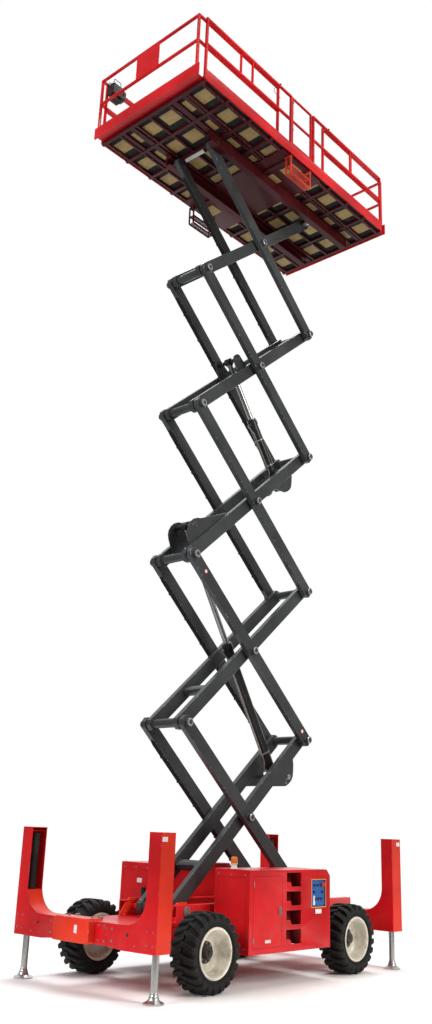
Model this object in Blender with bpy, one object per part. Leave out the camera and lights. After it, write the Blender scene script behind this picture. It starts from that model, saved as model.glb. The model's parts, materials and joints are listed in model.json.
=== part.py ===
"""Rough-terrain scissor lift, raised and standing on its four jacks.

Metres, +Z up. The machine's front is at -Y and its near side, with the ladder, is at +X.
Every piece is modelled in the machine's own frame: Y = 0 midway between the axles and
Z = 0 at the ground. The empty lift_origin carries them all.
"""

import math

import bmesh
import bpy

# Overall layout
LIFT_ORIGIN_Y = -0.085  # moves the middle of the machine's box onto Y = 0
WHEELBASE = 2.836
SEAT_GAP = 0.0003  # between pieces that rest on each other
RUN_GAP = 0.005  # between pieces that move past each other
SLIDE_GAP = 0.0008  # between a runner and what carries it

# Wheels
TYRE_RADIUS = 0.428
TYRE_WIDTH = 0.36
TYRE_OUTER_X = 1.148
RIM_SEAT_RADIUS = 0.255
RIM_FLANGE = 0.020
RIM_WALL = 0.020
HUB_RADIUS = 0.105
SPINDLE_RADIUS = 0.045
WHEEL_SIDES = 24

# Axles
AXLE_HEIGHT = 0.120
AXLE_WIDTH = 0.130
KINGPIN_X = 0.680
KINGPIN_RADIUS = 0.022
EAR_HEIGHT = 0.030
KNUCKLE_SIZE = 0.110
FLANGE_START = 0.085  # from the kingpin, clear of the fork at full lock
AXLE_CROWN = 0.050  # of an axle beam above the wheel centres
EAR_REACH = 0.045  # of the fork past the kingpin
EAR_ROOT = 0.050
HUB_INNER = 0.040  # from the tyre's middle, inwards and outwards
HUB_OUTER = 0.060
FLANGE_RADIUS = 0.084
REAR_BEAM_REACH = 0.660
REAR_FLANGE_START = 0.620

# Scissor stack
STAGES = 5
ARM_LENGTH = 3.384  # pin to pin
ARM_ANGLE = math.radians(41.02)
ARM_DEPTH = 0.180
ARM_WIDTH = 0.080
ARM_END = 0.085  # past the end pins
ARM_CHAMFER = 0.050
INNER_ARM_X = 0.240
ARM_SPACING = 0.020  # between an inner and an outer arm
PIN_RADIUS = 0.035
PIN_CLEARANCE = 0.0008
PIN_SIDES = 16
TUBE_SIDES = 12
TUBE_RADIUS = 0.062  # cross tubes round the end pins
BOSS_RADIUS = 0.048
BOSS_LENGTH = 0.058
BASE_PIN_Z = 0.807
SCISSOR_Y = 0.021  # middle of the stack
TIE_ALONG = 0.750
TIE_SIZE = 0.100

# Lift cylinders: where their pins sit on the inner frames, along the arm and square to it
LUG_ALONG = 2.810
LUG_DROP = 0.210
LUG_PLATE = 0.020
PLATE_INSET = 0.006  # lets the stacked frames fold past each other's plates
LOWER_HORN_ALONG = 0.460
LOWER_HORN_RISE = 0.260
UPPER_HORN_ALONG = 1.500
UPPER_HORN_RISE = 0.240
CYLINDER_PIN_RADIUS = 0.030
EYE_RADIUS = 0.058
EYE_HALF_WIDTH = 0.050
BARREL_RADIUS = 0.070
BARREL_START = 0.040  # from the barrel's pin
ROD_RADIUS = 0.040
LOWER_BARREL_LENGTH = 2.100
UPPER_BARREL_LENGTH = 1.180
LOWER_ROD_LENGTH = 2.500
UPPER_ROD_LENGTH = 1.420
GLAND_GAP = 0.0008

# Slide channels, the same under the platform and on the chassis
CHANNEL_WEB_X = 0.480
CHANNEL_WALL = 0.020
CHANNEL_FLANGE_X = 0.395
SHOE_HEIGHT = 0.100
SHOE_LENGTH = 0.160
SHOE_SETBACK = 0.018  # from the outer arms
CHANNEL_FRONT_Y = -1.420
CHANNEL_REAR_Y = 2.260
CHASSIS_CHANNEL_REAR_Y = 2.220

# Chassis
DECK_TOP_Z = 0.700
DECK_PLATE = 0.040
RAIL_BOTTOM_Z = 0.500
RAIL_INNER_X = 0.300
RAIL_OUTER_X = 0.460
CROSS_MEMBER_Y = 0.500
BEAM_HALF_WIDTH = 0.430
BEAM_BOTTOM_Z = 0.500
BEAM_TOP_Z = 0.735

# Outriggers
OUTRIGGER_OUTER_Y = 2.460
OUTRIGGER_DEPTH = 0.230
COLUMN_INNER_X = 1.020
COLUMN_OUTER_X = 1.200
COLUMN_TOP_Z = 1.700
COLUMN_CAP = 0.060
COLUMN_BOTTOM_Z = 0.480
ELBOW_RADIUS = 0.300
ELBOW_STEPS = 6
JACK_X = 1.095
JACK_RADIUS = 0.040
JACK_BORE_GAP = 0.0008
JACK_LENGTH = 1.180
FOOT_RADIUS = 0.115
FOOT_NECK_RADIUS = 0.055
FOOT_RIM = 0.020
FOOT_HEIGHT = 0.090
FOOT_SHOULDER = 0.072
FOOT_STEP = 0.005

# Side cabinets
CABINET_INNER_X = 0.560
CABINET_OUTER_X = 1.1175
CABINET_FRONT_Y = -WHEELBASE / 2 + 0.585  # clear of the tyres
CABINET_REAR_Y = WHEELBASE / 2 - 0.598
CABINET_BOTTOM_Z = 0.365
CABINET_TOP_Z = 1.300
CABINET_CHAMFER = 0.075
CABINET_WALL = 0.030
LADDER_Y = 0.040
LADDER_WIDTH = 0.300
LADDER_HOLE = 0.180
LADDER_PITCH = 0.219
LADDER_FIRST_Z = 0.430
LADDER_HOLES = 4
CONTROL_Y = 0.565
CONTROL_Z = 1.015
CONTROL_WIDTH = 0.300
CONTROL_HEIGHT = 0.320
CONTROL_MARGIN = 0.020
ENGINE_SIZE = (0.400, 0.800, 0.520)
BEACON_X = 0.800
BEACON_Y = -0.760

# Platform, heights above the top pins
PLATFORM_FRONT_Y = -2.427
PLATFORM_REAR_Y = 2.596
PLATFORM_HALF_WIDTH = 1.120
FASCIA_BOTTOM = 0.141
FASCIA_TOP = 0.333
FASCIA_WALL = 0.020
FLOOR_TOP = 0.197
FLOOR_PLATE = 0.015
RAIL_TOP = 1.278
RAIL_MIDDLE = 0.815
RAIL_TUBE = 0.036
END_PLATE = 0.024
MAIN_FRONT_Y = -2.280
MAIN_REAR_Y = 2.480
FRONT_RAIL_END_Y = -0.500
REAR_RAIL_END_Y = 0.740
RIB_HEIGHT = 0.060
RIB_WIDTH = 0.050
RIBS = 10
MIDDLE_BOX_GAP = 0.100  # between the deck's middle box and the extensions' last posts
STRINGER_X = (0.620, 0.680)
STEP_IN = 0.002  # keeps the faces of joined shapes apart
FRONT_SHORT_POST_Y = -1.200
REAR_SHORT_POST_Y = 1.500
EXTENSION_SHORT_POST = 1.000  # from the extension's end
SHORT_POST_TUBE = 0.029
SHORT_POST_LAP = 0.010
EXTENSION_GAP = 0.010  # between an extension's bars and the main ones
EXTENSION_PLATE_GAP = 0.020
GATE_Y = 0.095
GATE_WIDTH = 0.580
GATE_TUBE = 0.030
GATE_DROP = 0.010
HINGE_LOW = 0.100
HINGE_HIGH = 0.150
HINGE_RADIUS = 0.012
HINGE_HEIGHT = 0.080
HINGE_GAP = 0.0005
STEP_Y = 0.002
STEP_LENGTH = 0.640
STEP_DROP = 0.330
STEP_WIDTH = 0.110
STEP_PLATE = 0.016
STEP_TREAD = 0.026
STEP_TREAD_INSET = 0.010
CONTROL_BOX_WIDTH = 0.160
CONTROL_BOX_Y = (0.100, 0.420)  # from the platform's front end
CONTROL_BOX_DROP = 0.330
CONTROL_BOX_RISE = 0.020

# Worked out from the above
HALF_SPAN = 0.5 * ARM_LENGTH * math.cos(ARM_ANGLE)
STAGE_HEIGHT = ARM_LENGTH * math.sin(ARM_ANGLE)
FRONT_PIN_Y = SCISSOR_Y - HALF_SPAN
REAR_PIN_Y = SCISSOR_Y + HALF_SPAN
TOP_PIN_Z = BASE_PIN_Z + STAGES * STAGE_HEIGHT
OUTER_ARM_X = INNER_ARM_X + ARM_WIDTH + ARM_SPACING
OUTER_FACE_X = OUTER_ARM_X + ARM_WIDTH / 2
INNER_FACE_X = INNER_ARM_X - ARM_WIDTH / 2
BORE_RADIUS = PIN_RADIUS + PIN_CLEARANCE
WHEEL_X = TYRE_OUTER_X - TYRE_WIDTH / 2
FOOT_Y = OUTRIGGER_OUTER_Y - OUTRIGGER_DEPTH / 2

AXES = "xyz"


# ---------------------------------------------------------------- shapes

def prism(outline, axis, low, high):
    """Carries a closed outline along an axis. Its points are in the two other axes, in order."""
    first, second = [i for i in range(3) if AXES[i] != axis]
    along = AXES.index(axis)
    shape = bmesh.new()
    rings = []
    for level in (low, high):
        ring = []
        for point in outline:
            place = [0.0, 0.0, 0.0]
            place[first], place[second], place[along] = point[0], point[1], level
            ring.append(shape.verts.new(place))
        rings.append(ring)
    shape.faces.new(rings[0])
    shape.faces.new(rings[1])
    count = len(outline)
    for i in range(count):
        j = (i + 1) % count
        shape.faces.new((rings[0][i], rings[0][j], rings[1][j], rings[1][i]))
    bmesh.ops.recalc_face_normals(shape, faces=shape.faces)
    return shape


def block(x, y, z):
    """A box from three (low, high) pairs."""
    return prism([(x[0], y[0]), (x[1], y[0]), (x[1], y[1]), (x[0], y[1])], "z", z[0], z[1])


def circle(radius, centre=(0.0, 0.0), sides=PIN_SIDES):
    turns = [2 * math.pi * (i + 0.5) / sides for i in range(sides)]
    return [(centre[0] + radius * math.cos(t), centre[1] + radius * math.sin(t)) for t in turns]


def rod(axis, radius, low, high, centre=(0.0, 0.0), sides=PIN_SIDES):
    return prism(circle(radius, centre, sides), axis, low, high)


def chamfered_bar(start, end, half_depth, chamfer):
    """The outline of an arm along Y, its four corners cut off."""
    near, far = start + chamfer, end - chamfer
    shoulder = half_depth - chamfer
    return [(near, -half_depth), (far, -half_depth), (end, -shoulder), (end, shoulder),
            (far, half_depth), (near, half_depth), (start, shoulder), (start, -shoulder)]


def turned(profile, sides):
    """Spins a closed profile of (along, radius) points round the X axis into a ring."""
    shape = bmesh.new()
    rings = []
    for i in range(sides):
        angle = 2 * math.pi * (i + 0.5) / sides
        c, s = math.cos(angle), math.sin(angle)
        rings.append([shape.verts.new((along, r * c, r * s)) for along, r in profile])
    count = len(profile)
    for i in range(sides):
        here, after = rings[i], rings[(i + 1) % sides]
        for j in range(count):
            k = (j + 1) % count
            shape.faces.new((here[j], here[k], after[k], after[j]))
    bmesh.ops.recalc_face_normals(shape, faces=shape.faces)
    return shape


def turned_solid(profile, sides):
    """Spins an open profile of (height, radius) points round the Z axis and caps both ends."""
    shape = bmesh.new()
    rings = []
    for height, radius in profile:
        rings.append([shape.verts.new((x, y, height)) for x, y in circle(radius, sides=sides)])
    for low, high in zip(rings, rings[1:]):
        for i in range(sides):
            j = (i + 1) % sides
            shape.faces.new((low[i], low[j], high[j], high[i]))
    shape.faces.new(rings[0])
    shape.faces.new(rings[-1])
    bmesh.ops.recalc_face_normals(shape, faces=shape.faces)
    return shape


def mirrored(shape):
    """The same shape on the other side of the machine, with its faces pointing out again."""
    bmesh.ops.scale(shape, verts=shape.verts, vec=(-1, 1, 1))
    bmesh.ops.reverse_faces(shape, faces=shape.faces)
    return shape


def reversed_ends(shape):
    """The same shape at the other end of the machine, with its faces pointing out again."""
    bmesh.ops.scale(shape, verts=shape.verts, vec=(1, -1, 1))
    bmesh.ops.reverse_faces(shape, faces=shape.faces)
    return shape


def both_sides(make):
    """One shape for each side of the machine."""
    return [make(), mirrored(make())]


def as_object(shape, name):
    mesh = bpy.data.meshes.new(name)
    shape.to_mesh(mesh)
    shape.free()
    thing = bpy.data.objects.new(name, mesh)
    bpy.context.scene.collection.objects.link(thing)
    return thing


def welded(shapes, cuts=()):
    """Joins shapes into one solid and takes the cuts out of it."""
    base = as_object(shapes[0], "weld_base")
    tools = []
    for operation, group in (("UNION", shapes[1:]), ("DIFFERENCE", cuts)):
        for shape in group:
            tool = as_object(shape, "weld_tool")
            tools.append(tool)
            step = base.modifiers.new(operation.lower(), "BOOLEAN")
            step.operation = operation
            step.solver = "EXACT"
            step.object = tool
    graph = bpy.context.evaluated_depsgraph_get()
    mesh = bpy.data.meshes.new_from_object(base.evaluated_get(graph))
    for thing in [base, *tools]:
        bpy.data.objects.remove(thing, do_unlink=True)
    result = bmesh.new()
    result.from_mesh(mesh)
    bpy.data.meshes.remove(mesh)
    bmesh.ops.remove_doubles(result, verts=result.verts, dist=1e-6)
    bmesh.ops.dissolve_limit(result, angle_limit=math.radians(0.05), verts=result.verts,
                             edges=result.edges)
    return result


# ---------------------------------------------------------------- finishes and placing

def finish(name, colour, roughness, metallic=0.0):
    material = bpy.data.materials.new(name)
    material.use_nodes = True
    shader = material.node_tree.nodes["Principled BSDF"]
    shader.inputs["Base Color"].default_value = (*colour, 1.0)
    shader.inputs["Roughness"].default_value = roughness
    shader.inputs["Metallic"].default_value = metallic
    return material


def add_part(name, shape, material, pivot=(0.0, 0.0, 0.0), tilt=0.0, smooth=False):
    """Adds a node. Its shape is about its pivot, which is a point of the machine's frame."""
    part = as_object(shape, name)
    part.data.materials.append(material)
    if smooth:
        part.data.shade_smooth()
        part.data.set_sharp_from_angle(angle=math.radians(40))
    part.location = pivot
    part.rotation_euler = (tilt, 0.0, 0.0)
    part.parent = ORIGIN
    return part


# ---------------------------------------------------------------- chassis

def slide_channel(front, rear, pin_z, floor_z, roof_z):
    """A channel open towards the middle of the machine, in which a shoe runs at the height pin_z."""
    low = pin_z - SHOE_HEIGHT / 2 - RUN_GAP
    high = pin_z + SHOE_HEIGHT / 2 + RUN_GAP
    outer = CHANNEL_WEB_X + CHANNEL_WALL
    outline = [(CHANNEL_FLANGE_X, floor_z), (outer, floor_z), (outer, roof_z),
               (CHANNEL_FLANGE_X, roof_z), (CHANNEL_FLANGE_X, high), (CHANNEL_WEB_X, high),
               (CHANNEL_WEB_X, low), (CHANNEL_FLANGE_X, low)]
    return prism(outline, "y", front, rear)


def chassis_frame():
    """Deck plate, two box rails, end beams, slide channels and the shaft of the front pivot."""
    inner_end = OUTRIGGER_OUTER_Y - OUTRIGGER_DEPTH
    deck_half = CHANNEL_WEB_X + CHANNEL_WALL
    shapes = [block((-deck_half, deck_half), (-inner_end, inner_end),
                    (DECK_TOP_Z - DECK_PLATE, DECK_TOP_Z))]
    shapes += both_sides(lambda: block((RAIL_INNER_X, RAIL_OUTER_X), (-inner_end, inner_end),
                                       (RAIL_BOTTOM_Z, DECK_TOP_Z - DECK_PLATE / 2)))
    for end in (-1, 1):
        middle = end * FOOT_Y
        shapes.append(block((-BEAM_HALF_WIDTH, BEAM_HALF_WIDTH),
                            (middle - OUTRIGGER_DEPTH / 2, middle + OUTRIGGER_DEPTH / 2),
                            (BEAM_BOTTOM_Z, BEAM_TOP_Z)))
        for y in (end * WHEELBASE / 2, end * CROSS_MEMBER_Y):
            reach = CABINET_INNER_X - SEAT_GAP if abs(y) < CABINET_REAR_Y else RAIL_OUTER_X
            shapes.append(block((-reach, reach), (y - RIB_WIDTH, y + RIB_WIDTH),
                                (RAIL_BOTTOM_Z, DECK_TOP_Z - DECK_PLATE / 2)))
    roof = BASE_PIN_Z + SHOE_HEIGHT / 2 + RUN_GAP + CHANNEL_WALL
    shapes += both_sides(lambda: slide_channel(CHANNEL_FRONT_Y, CHASSIS_CHANNEL_REAR_Y, BASE_PIN_Z,
                                               DECK_TOP_Z - DECK_PLATE / 2, roof))
    shapes.append(rod("x", PIN_RADIUS, -CHANNEL_WEB_X - CHANNEL_WALL / 2,
                      CHANNEL_WEB_X + CHANNEL_WALL / 2, (FRONT_PIN_Y, BASE_PIN_Z)))
    return welded(shapes)


def outrigger():
    """The near front one: a box section that runs out from the end beam and curves up."""
    arc_centre = (COLUMN_INNER_X - ELBOW_RADIUS, BEAM_TOP_Z + ELBOW_RADIUS)
    outline = [(BEAM_HALF_WIDTH + SEAT_GAP, BEAM_BOTTOM_Z), (COLUMN_OUTER_X, COLUMN_BOTTOM_Z),
               (COLUMN_OUTER_X, COLUMN_TOP_Z), (COLUMN_INNER_X, COLUMN_TOP_Z)]
    for i in range(ELBOW_STEPS + 1):
        turn = -0.5 * math.pi * i / ELBOW_STEPS
        outline.append((arc_centre[0] + ELBOW_RADIUS * math.cos(turn),
                        arc_centre[1] + ELBOW_RADIUS * math.sin(turn)))
    outline.append((BEAM_HALF_WIDTH + SEAT_GAP, BEAM_TOP_Z))
    body = prism(outline, "y", -OUTRIGGER_OUTER_Y, -OUTRIGGER_OUTER_Y + OUTRIGGER_DEPTH)
    bore = rod("z", JACK_RADIUS + JACK_BORE_GAP, 0.0, COLUMN_TOP_Z - COLUMN_CAP, (JACK_X, -FOOT_Y))
    return welded([body], [bore])


def jack_leg():
    """A round leg with a dished foot, about the foot's middle on the ground."""
    profile = [(0.0, FOOT_RADIUS), (FOOT_RIM, FOOT_RADIUS), (FOOT_SHOULDER, FOOT_NECK_RADIUS),
               (FOOT_HEIGHT, FOOT_NECK_RADIUS), (FOOT_HEIGHT + FOOT_STEP, JACK_RADIUS),
               (JACK_LENGTH, JACK_RADIUS)]
    return turned_solid(profile, PIN_SIDES)


def cabinet():
    """The near cabinet: a shell open underneath, its rear top corner cut off."""
    def outline(inset, bottom):
        rear, top = CABINET_REAR_Y - inset, CABINET_TOP_Z - inset
        chamfer = CABINET_CHAMFER
        return [(CABINET_FRONT_Y + inset, bottom), (rear, bottom), (rear, top - chamfer),
                (rear - chamfer, top), (CABINET_FRONT_Y + inset, top)]
    shell = prism(outline(0.0, CABINET_BOTTOM_Z), "x", CABINET_INNER_X, CABINET_OUTER_X)
    hollow = prism(outline(CABINET_WALL, CABINET_BOTTOM_Z - CABINET_WALL), "x",
                   CABINET_INNER_X + CABINET_WALL, CABINET_OUTER_X - CABINET_WALL)
    return shell, hollow


def near_cabinet():
    """The cabinet with four ladder holes and the window of the ground controls."""
    shell, hollow = cabinet()
    wall = (CABINET_OUTER_X - 1.5 * CABINET_WALL, CABINET_OUTER_X + CABINET_WALL)
    cuts = [hollow]
    for i in range(LADDER_HOLES):
        bottom = LADDER_FIRST_Z + i * LADDER_PITCH
        cuts.append(block(wall, (LADDER_Y - LADDER_WIDTH / 2, LADDER_Y + LADDER_WIDTH / 2),
                          (bottom, bottom + LADDER_HOLE)))
    cuts.append(block(wall, (CONTROL_Y - CONTROL_WIDTH / 2, CONTROL_Y + CONTROL_WIDTH / 2),
                      (CONTROL_Z - CONTROL_HEIGHT / 2, CONTROL_Z + CONTROL_HEIGHT / 2)))
    return welded([shell], cuts)


def far_cabinet():
    shell, hollow = cabinet()
    return mirrored(welded([shell], [hollow]))


def control_panel():
    """The ground control plate, seated on the back of the near cabinet's outer wall."""
    back = CABINET_OUTER_X - CABINET_WALL - SEAT_GAP
    half_width = CONTROL_WIDTH / 2 + CONTROL_MARGIN
    half_height = CONTROL_HEIGHT / 2 + CONTROL_MARGIN
    return block((back - CONTROL_MARGIN, back), (CONTROL_Y - half_width, CONTROL_Y + half_width),
                 (CONTROL_Z - half_height, CONTROL_Z + half_height))


def engine_block():
    """A plain block hung on the inner wall of the far cabinet."""
    wall = -CABINET_INNER_X - CABINET_WALL - SEAT_GAP
    width, length, height = ENGINE_SIZE
    bottom = CABINET_BOTTOM_Z + 2 * CABINET_WALL
    return block((wall - width, wall), (-length / 2, length / 2), (bottom, bottom + height))


def beacon():
    """A lamp on a round base, about the middle of its foot."""
    profile = [(0.0, 0.040), (0.055, 0.038), (0.060, 0.046), (0.125, 0.042), (0.140, 0.024)]
    return turned_solid(profile, PIN_SIDES)


# ---------------------------------------------------------------- wheels and axles

def tyre():
    half = TYRE_WIDTH / 2
    seat = RIM_SEAT_RADIUS + SEAT_GAP
    bead = half - 0.031
    flange = RIM_SEAT_RADIUS + RIM_FLANGE
    upper = [(bead, seat), (bead, flange + 0.003), (half - 0.008, flange + 0.010),
             (half, flange + 0.060), (half - 0.010, TYRE_RADIUS - 0.030),
             (half - 0.060, TYRE_RADIUS)]
    return turned(upper + [(-along, r) for along, r in reversed(upper)], WHEEL_SIDES)


def rim():
    half = TYRE_WIDTH / 2
    bead = half - 0.030
    lip = half - 0.015
    flange = RIM_SEAT_RADIUS + RIM_FLANGE
    dish = RIM_SEAT_RADIUS - RIM_WALL
    bore = SPINDLE_RADIUS + PIN_CLEARANCE
    profile = [(-bead, RIM_SEAT_RADIUS), (bead, RIM_SEAT_RADIUS), (bead, flange), (lip, flange),
               (bead - RIM_WALL, dish), (0.020, dish - 0.010), (0.020, HUB_RADIUS),
               (0.050, HUB_RADIUS), (0.050, bore), (-HUB_INNER, bore), (-HUB_INNER, HUB_RADIUS),
               (0.000, dish - 0.010), (-bead + RIM_WALL, dish), (-lip, flange),
               (-bead, flange)]
    return turned(profile, WHEEL_SIDES)


def front_axle():
    """A beam with a fork and a kingpin at each end."""
    y = -WHEELBASE / 2
    half = AXLE_WIDTH / 2
    fork_inner = KINGPIN_X - KNUCKLE_SIZE * math.sqrt(0.5) - RUN_GAP
    ear_low = TYRE_RADIUS - KNUCKLE_SIZE / 2 - RUN_GAP
    ear_high = TYRE_RADIUS + KNUCKLE_SIZE / 2 + RUN_GAP
    top = RAIL_BOTTOM_Z - 2 * SEAT_GAP
    low = TYRE_RADIUS - AXLE_HEIGHT / 2
    shapes = [block((-fork_inner, fork_inner), (y - half, y + half), (low, TYRE_RADIUS + AXLE_CROWN))]
    for side in (-1, 1):
        inner, outer = sorted((side * (fork_inner - EAR_ROOT), side * (KINGPIN_X + EAR_REACH)))
        for bottom in (ear_low - EAR_HEIGHT, ear_high):
            shapes.append(block((inner, outer), (y - half, y + half), (bottom, bottom + EAR_HEIGHT)))
        edge = sorted((side * (fork_inner - EAR_ROOT), side * fork_inner))
        shapes.append(block(edge, (y - half, y + half), (ear_low - EAR_HEIGHT, ear_high + EAR_HEIGHT)))
        shapes.append(rod("z", KINGPIN_RADIUS, ear_low - EAR_HEIGHT / 2, ear_high + EAR_HEIGHT / 2,
                          (side * KINGPIN_X, y)))
    pads = [block(pair, (y - half, y + half), (TYRE_RADIUS, top))
            for pair in ((-RAIL_OUTER_X, -RAIL_INNER_X), (RAIL_INNER_X, RAIL_OUTER_X))]
    return welded(shapes + pads)


def knuckle():
    """The near knuckle about its kingpin: a bored block and the wheel's spindle."""
    half = KNUCKLE_SIZE / 2
    hub_face = WHEEL_X - HUB_INNER - KINGPIN_X
    shapes = [block((-half, half), (-half, half), (-half, half)),
              rod("x", FLANGE_RADIUS, FLANGE_START, hub_face - SEAT_GAP),
              rod("x", SPINDLE_RADIUS, 0.5 * half, WHEEL_X + HUB_OUTER - KINGPIN_X)]
    bore = rod("z", KINGPIN_RADIUS + PIN_CLEARANCE, -KNUCKLE_SIZE, KNUCKLE_SIZE)
    return welded(shapes, [bore])


def rear_axle():
    y = WHEELBASE / 2
    half = AXLE_WIDTH / 2
    hub_face = WHEEL_X - HUB_INNER - SEAT_GAP
    tip = WHEEL_X + HUB_OUTER
    shapes = [block((-REAR_BEAM_REACH, REAR_BEAM_REACH), (y - half, y + half),
                    (TYRE_RADIUS - AXLE_HEIGHT / 2, TYRE_RADIUS + AXLE_CROWN)),
              rod("x", SPINDLE_RADIUS, -tip, tip, (y, TYRE_RADIUS))]
    shapes += both_sides(lambda: rod("x", FLANGE_RADIUS, REAR_FLANGE_START, hub_face, (y, TYRE_RADIUS)))
    pads = [block(pair, (y - half, y + half), (TYRE_RADIUS, RAIL_BOTTOM_Z - 2 * SEAT_GAP))
            for pair in ((-RAIL_OUTER_X, -RAIL_INNER_X), (RAIL_INNER_X, RAIL_OUTER_X))]
    return welded(shapes + pads)


# ---------------------------------------------------------------- scissor frames

def welded_plate(outline, face_x):
    """A plate beside an inner arm, its outer face at face_x, and a spacer that joins it to the arm."""
    base = [point[0] for point in (outline[0], outline[-1])]
    half = ARM_DEPTH / 2 - ARM_CHAMFER
    spacer = block((face_x - LUG_PLATE / 2, INNER_FACE_X + LUG_PLATE), (min(base), max(base)),
                   (-half, half))
    return [prism(outline, "x", face_x - LUG_PLATE, face_x), spacer]


def lug_plate(face_x):
    """A cylinder lug under the rear of an inner arm."""
    outline = [(LUG_ALONG - 0.42, 0.0), (LUG_ALONG - 0.42, -0.05), (LUG_ALONG - 0.14, -LUG_DROP - 0.055),
               (LUG_ALONG + 0.02, -LUG_DROP - 0.080), (LUG_ALONG + 0.11, -LUG_DROP - 0.040),
               (LUG_ALONG + 0.20, -LUG_DROP + 0.060), (LUG_ALONG + 0.26, -0.05), (LUG_ALONG + 0.26, 0.0)]
    return welded_plate(outline, face_x)


def lower_horn_plate():
    """The tall plate on the third inner arm, about the lower cylinder's upper pin."""
    along, rise = LOWER_HORN_ALONG, LOWER_HORN_RISE
    outline = [(along - 0.28, 0.0), (along - 0.22, rise - 0.06), (along - 0.10, rise + 0.06),
               (along + 0.02, rise + 0.08), (along + 0.14, rise + 0.03), (along + 0.84, 0.05),
               (along + 0.84, 0.0)]
    return welded_plate(outline, INNER_FACE_X - PLATE_INSET)


def upper_horn_plate():
    """The plate on the fourth inner arm, about the upper cylinder's upper pin."""
    along, rise = UPPER_HORN_ALONG, UPPER_HORN_RISE
    outline = [(along - 0.17, 0.0), (along - 0.10, rise + 0.04), (along - 0.02, rise + 0.08),
               (along + 0.07, rise + 0.05), (along + 0.15, 0.0)]
    return welded_plate(outline, INNER_FACE_X - PLATE_INSET)


def inner_frame(stage):
    """Two arms and their cross tubes, about the lower front pin, with the arms along +Y."""
    outline = chamfered_bar(-ARM_END, ARM_LENGTH + ARM_END, ARM_DEPTH / 2, ARM_CHAMFER)
    face = INNER_ARM_X + ARM_WIDTH / 2
    shapes = both_sides(lambda: prism(outline, "x", INNER_FACE_X, face))
    for along in (0.0, ARM_LENGTH):
        shapes.append(rod("x", TUBE_RADIUS, -INNER_ARM_X, INNER_ARM_X, (along, 0.0), TUBE_SIDES))
    if stage in (0, 1, 4):
        shapes.append(block((-INNER_ARM_X, INNER_ARM_X), (TIE_ALONG - TIE_SIZE / 2,
                      TIE_ALONG + TIE_SIZE / 2), (-TIE_SIZE / 2, TIE_SIZE / 2)))
    if stage in (0, 2):
        plate_face = face if stage == 0 else INNER_FACE_X - PLATE_INSET
        reach = plate_face - LUG_PLATE / 2
        for shape in range(2):
            shapes += both_sides(lambda: lug_plate(plate_face)[shape])
        shapes.append(rod("x", CYLINDER_PIN_RADIUS, -reach, reach, (LUG_ALONG, -LUG_DROP)))
    horns = {2: lower_horn_plate, 3: upper_horn_plate}
    if stage in horns:
        for shape in range(2):
            shapes += both_sides(lambda: horns[stage]()[shape])
    cuts = [rod("x", BORE_RADIUS, -face - RIB_WIDTH, face + RIB_WIDTH, (along, 0.0))
            for along in (0.0, ARM_LENGTH / 2, ARM_LENGTH)]
    return welded(shapes, cuts)


def outer_frame(stage):
    """Two arms with their pins, about the middle pin, with the arms along Y, front end at -Y."""
    half = ARM_LENGTH / 2
    inner_face = OUTER_ARM_X - ARM_WIDTH / 2
    boss_face = OUTER_FACE_X + BOSS_LENGTH
    outline = chamfered_bar(-half - ARM_END, half + ARM_END, ARM_DEPTH / 2, ARM_CHAMFER)
    shapes = both_sides(lambda: prism(outline, "x", inner_face, OUTER_FACE_X))
    shapes += both_sides(lambda: rod("x", PIN_RADIUS, INNER_FACE_X + RUN_GAP, OUTER_ARM_X))
    bottom_is_bored = stage == 0
    top_reach = CHANNEL_WEB_X + CHANNEL_WALL / 2 if stage == STAGES - 1 else OUTER_ARM_X
    shapes.append(rod("x", PIN_RADIUS, -top_reach, top_reach, (-half, 0.0)))
    bosses = [-half, 0.0]
    cuts = []
    if bottom_is_bored:
        cuts.append(rod("x", BORE_RADIUS, -boss_face, boss_face, (half, 0.0)))
    else:
        shapes.append(rod("x", PIN_RADIUS, -OUTER_ARM_X, OUTER_ARM_X, (half, 0.0)))
        bosses.append(half)
    for along in bosses:
        shapes += both_sides(lambda: rod("x", BOSS_RADIUS, OUTER_ARM_X, boss_face, (along, 0.0),
                                         TUBE_SIDES))
    return welded(shapes, cuts)


def slide_shoes():
    """A shaft with a block at each end that runs in the slide channels."""
    half_length, half_height = SHOE_LENGTH / 2, SHOE_HEIGHT / 2
    shapes = both_sides(lambda: block((OUTER_FACE_X + SHOE_SETBACK, CHANNEL_WEB_X - RUN_GAP),
                                      (-half_length, half_length), (-half_height, half_height)))
    shapes.append(rod("x", PIN_RADIUS, -CHANNEL_FLANGE_X - SHOE_SETBACK, CHANNEL_FLANGE_X + SHOE_SETBACK))
    return welded(shapes)


def cylinder_barrel(length):
    """A barrel along +Y about its lower pin, bored for its rod."""
    half = EYE_HALF_WIDTH
    shapes = [rod("x", EYE_RADIUS, -half, half), rod("y", BARREL_RADIUS, BARREL_START, length)]
    cuts = [rod("x", CYLINDER_PIN_RADIUS + PIN_CLEARANCE, -2 * half, 2 * half),
            rod("y", ROD_RADIUS + GLAND_GAP, 2 * half, length + half)]
    return welded(shapes, cuts)


def cylinder_rod(length):
    """A rod along -Y with its eye's pin, which stops short of the plates that it passes between."""
    half = EYE_HALF_WIDTH
    reach = INNER_FACE_X - PLATE_INSET - LUG_PLATE - RUN_GAP
    return welded([rod("x", EYE_RADIUS, -half, half), rod("y", ROD_RADIUS, -length, 0.0),
                   rod("x", CYLINDER_PIN_RADIUS, -reach, reach)])


def frame_point(stage, along, rise):
    """A point of an inner frame in the machine's frame, as (y, z)."""
    c, s = math.cos(ARM_ANGLE), math.sin(ARM_ANGLE)
    return (FRONT_PIN_Y + along * c - rise * s,
            BASE_PIN_Z + stage * STAGE_HEIGHT + along * s + rise * c)


# ---------------------------------------------------------------- platform

def post(x, y, low, high, size=RAIL_TUBE):
    return block((x - size / 2, x + size / 2), (y - size / 2, y + size / 2), (low, high))


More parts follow.
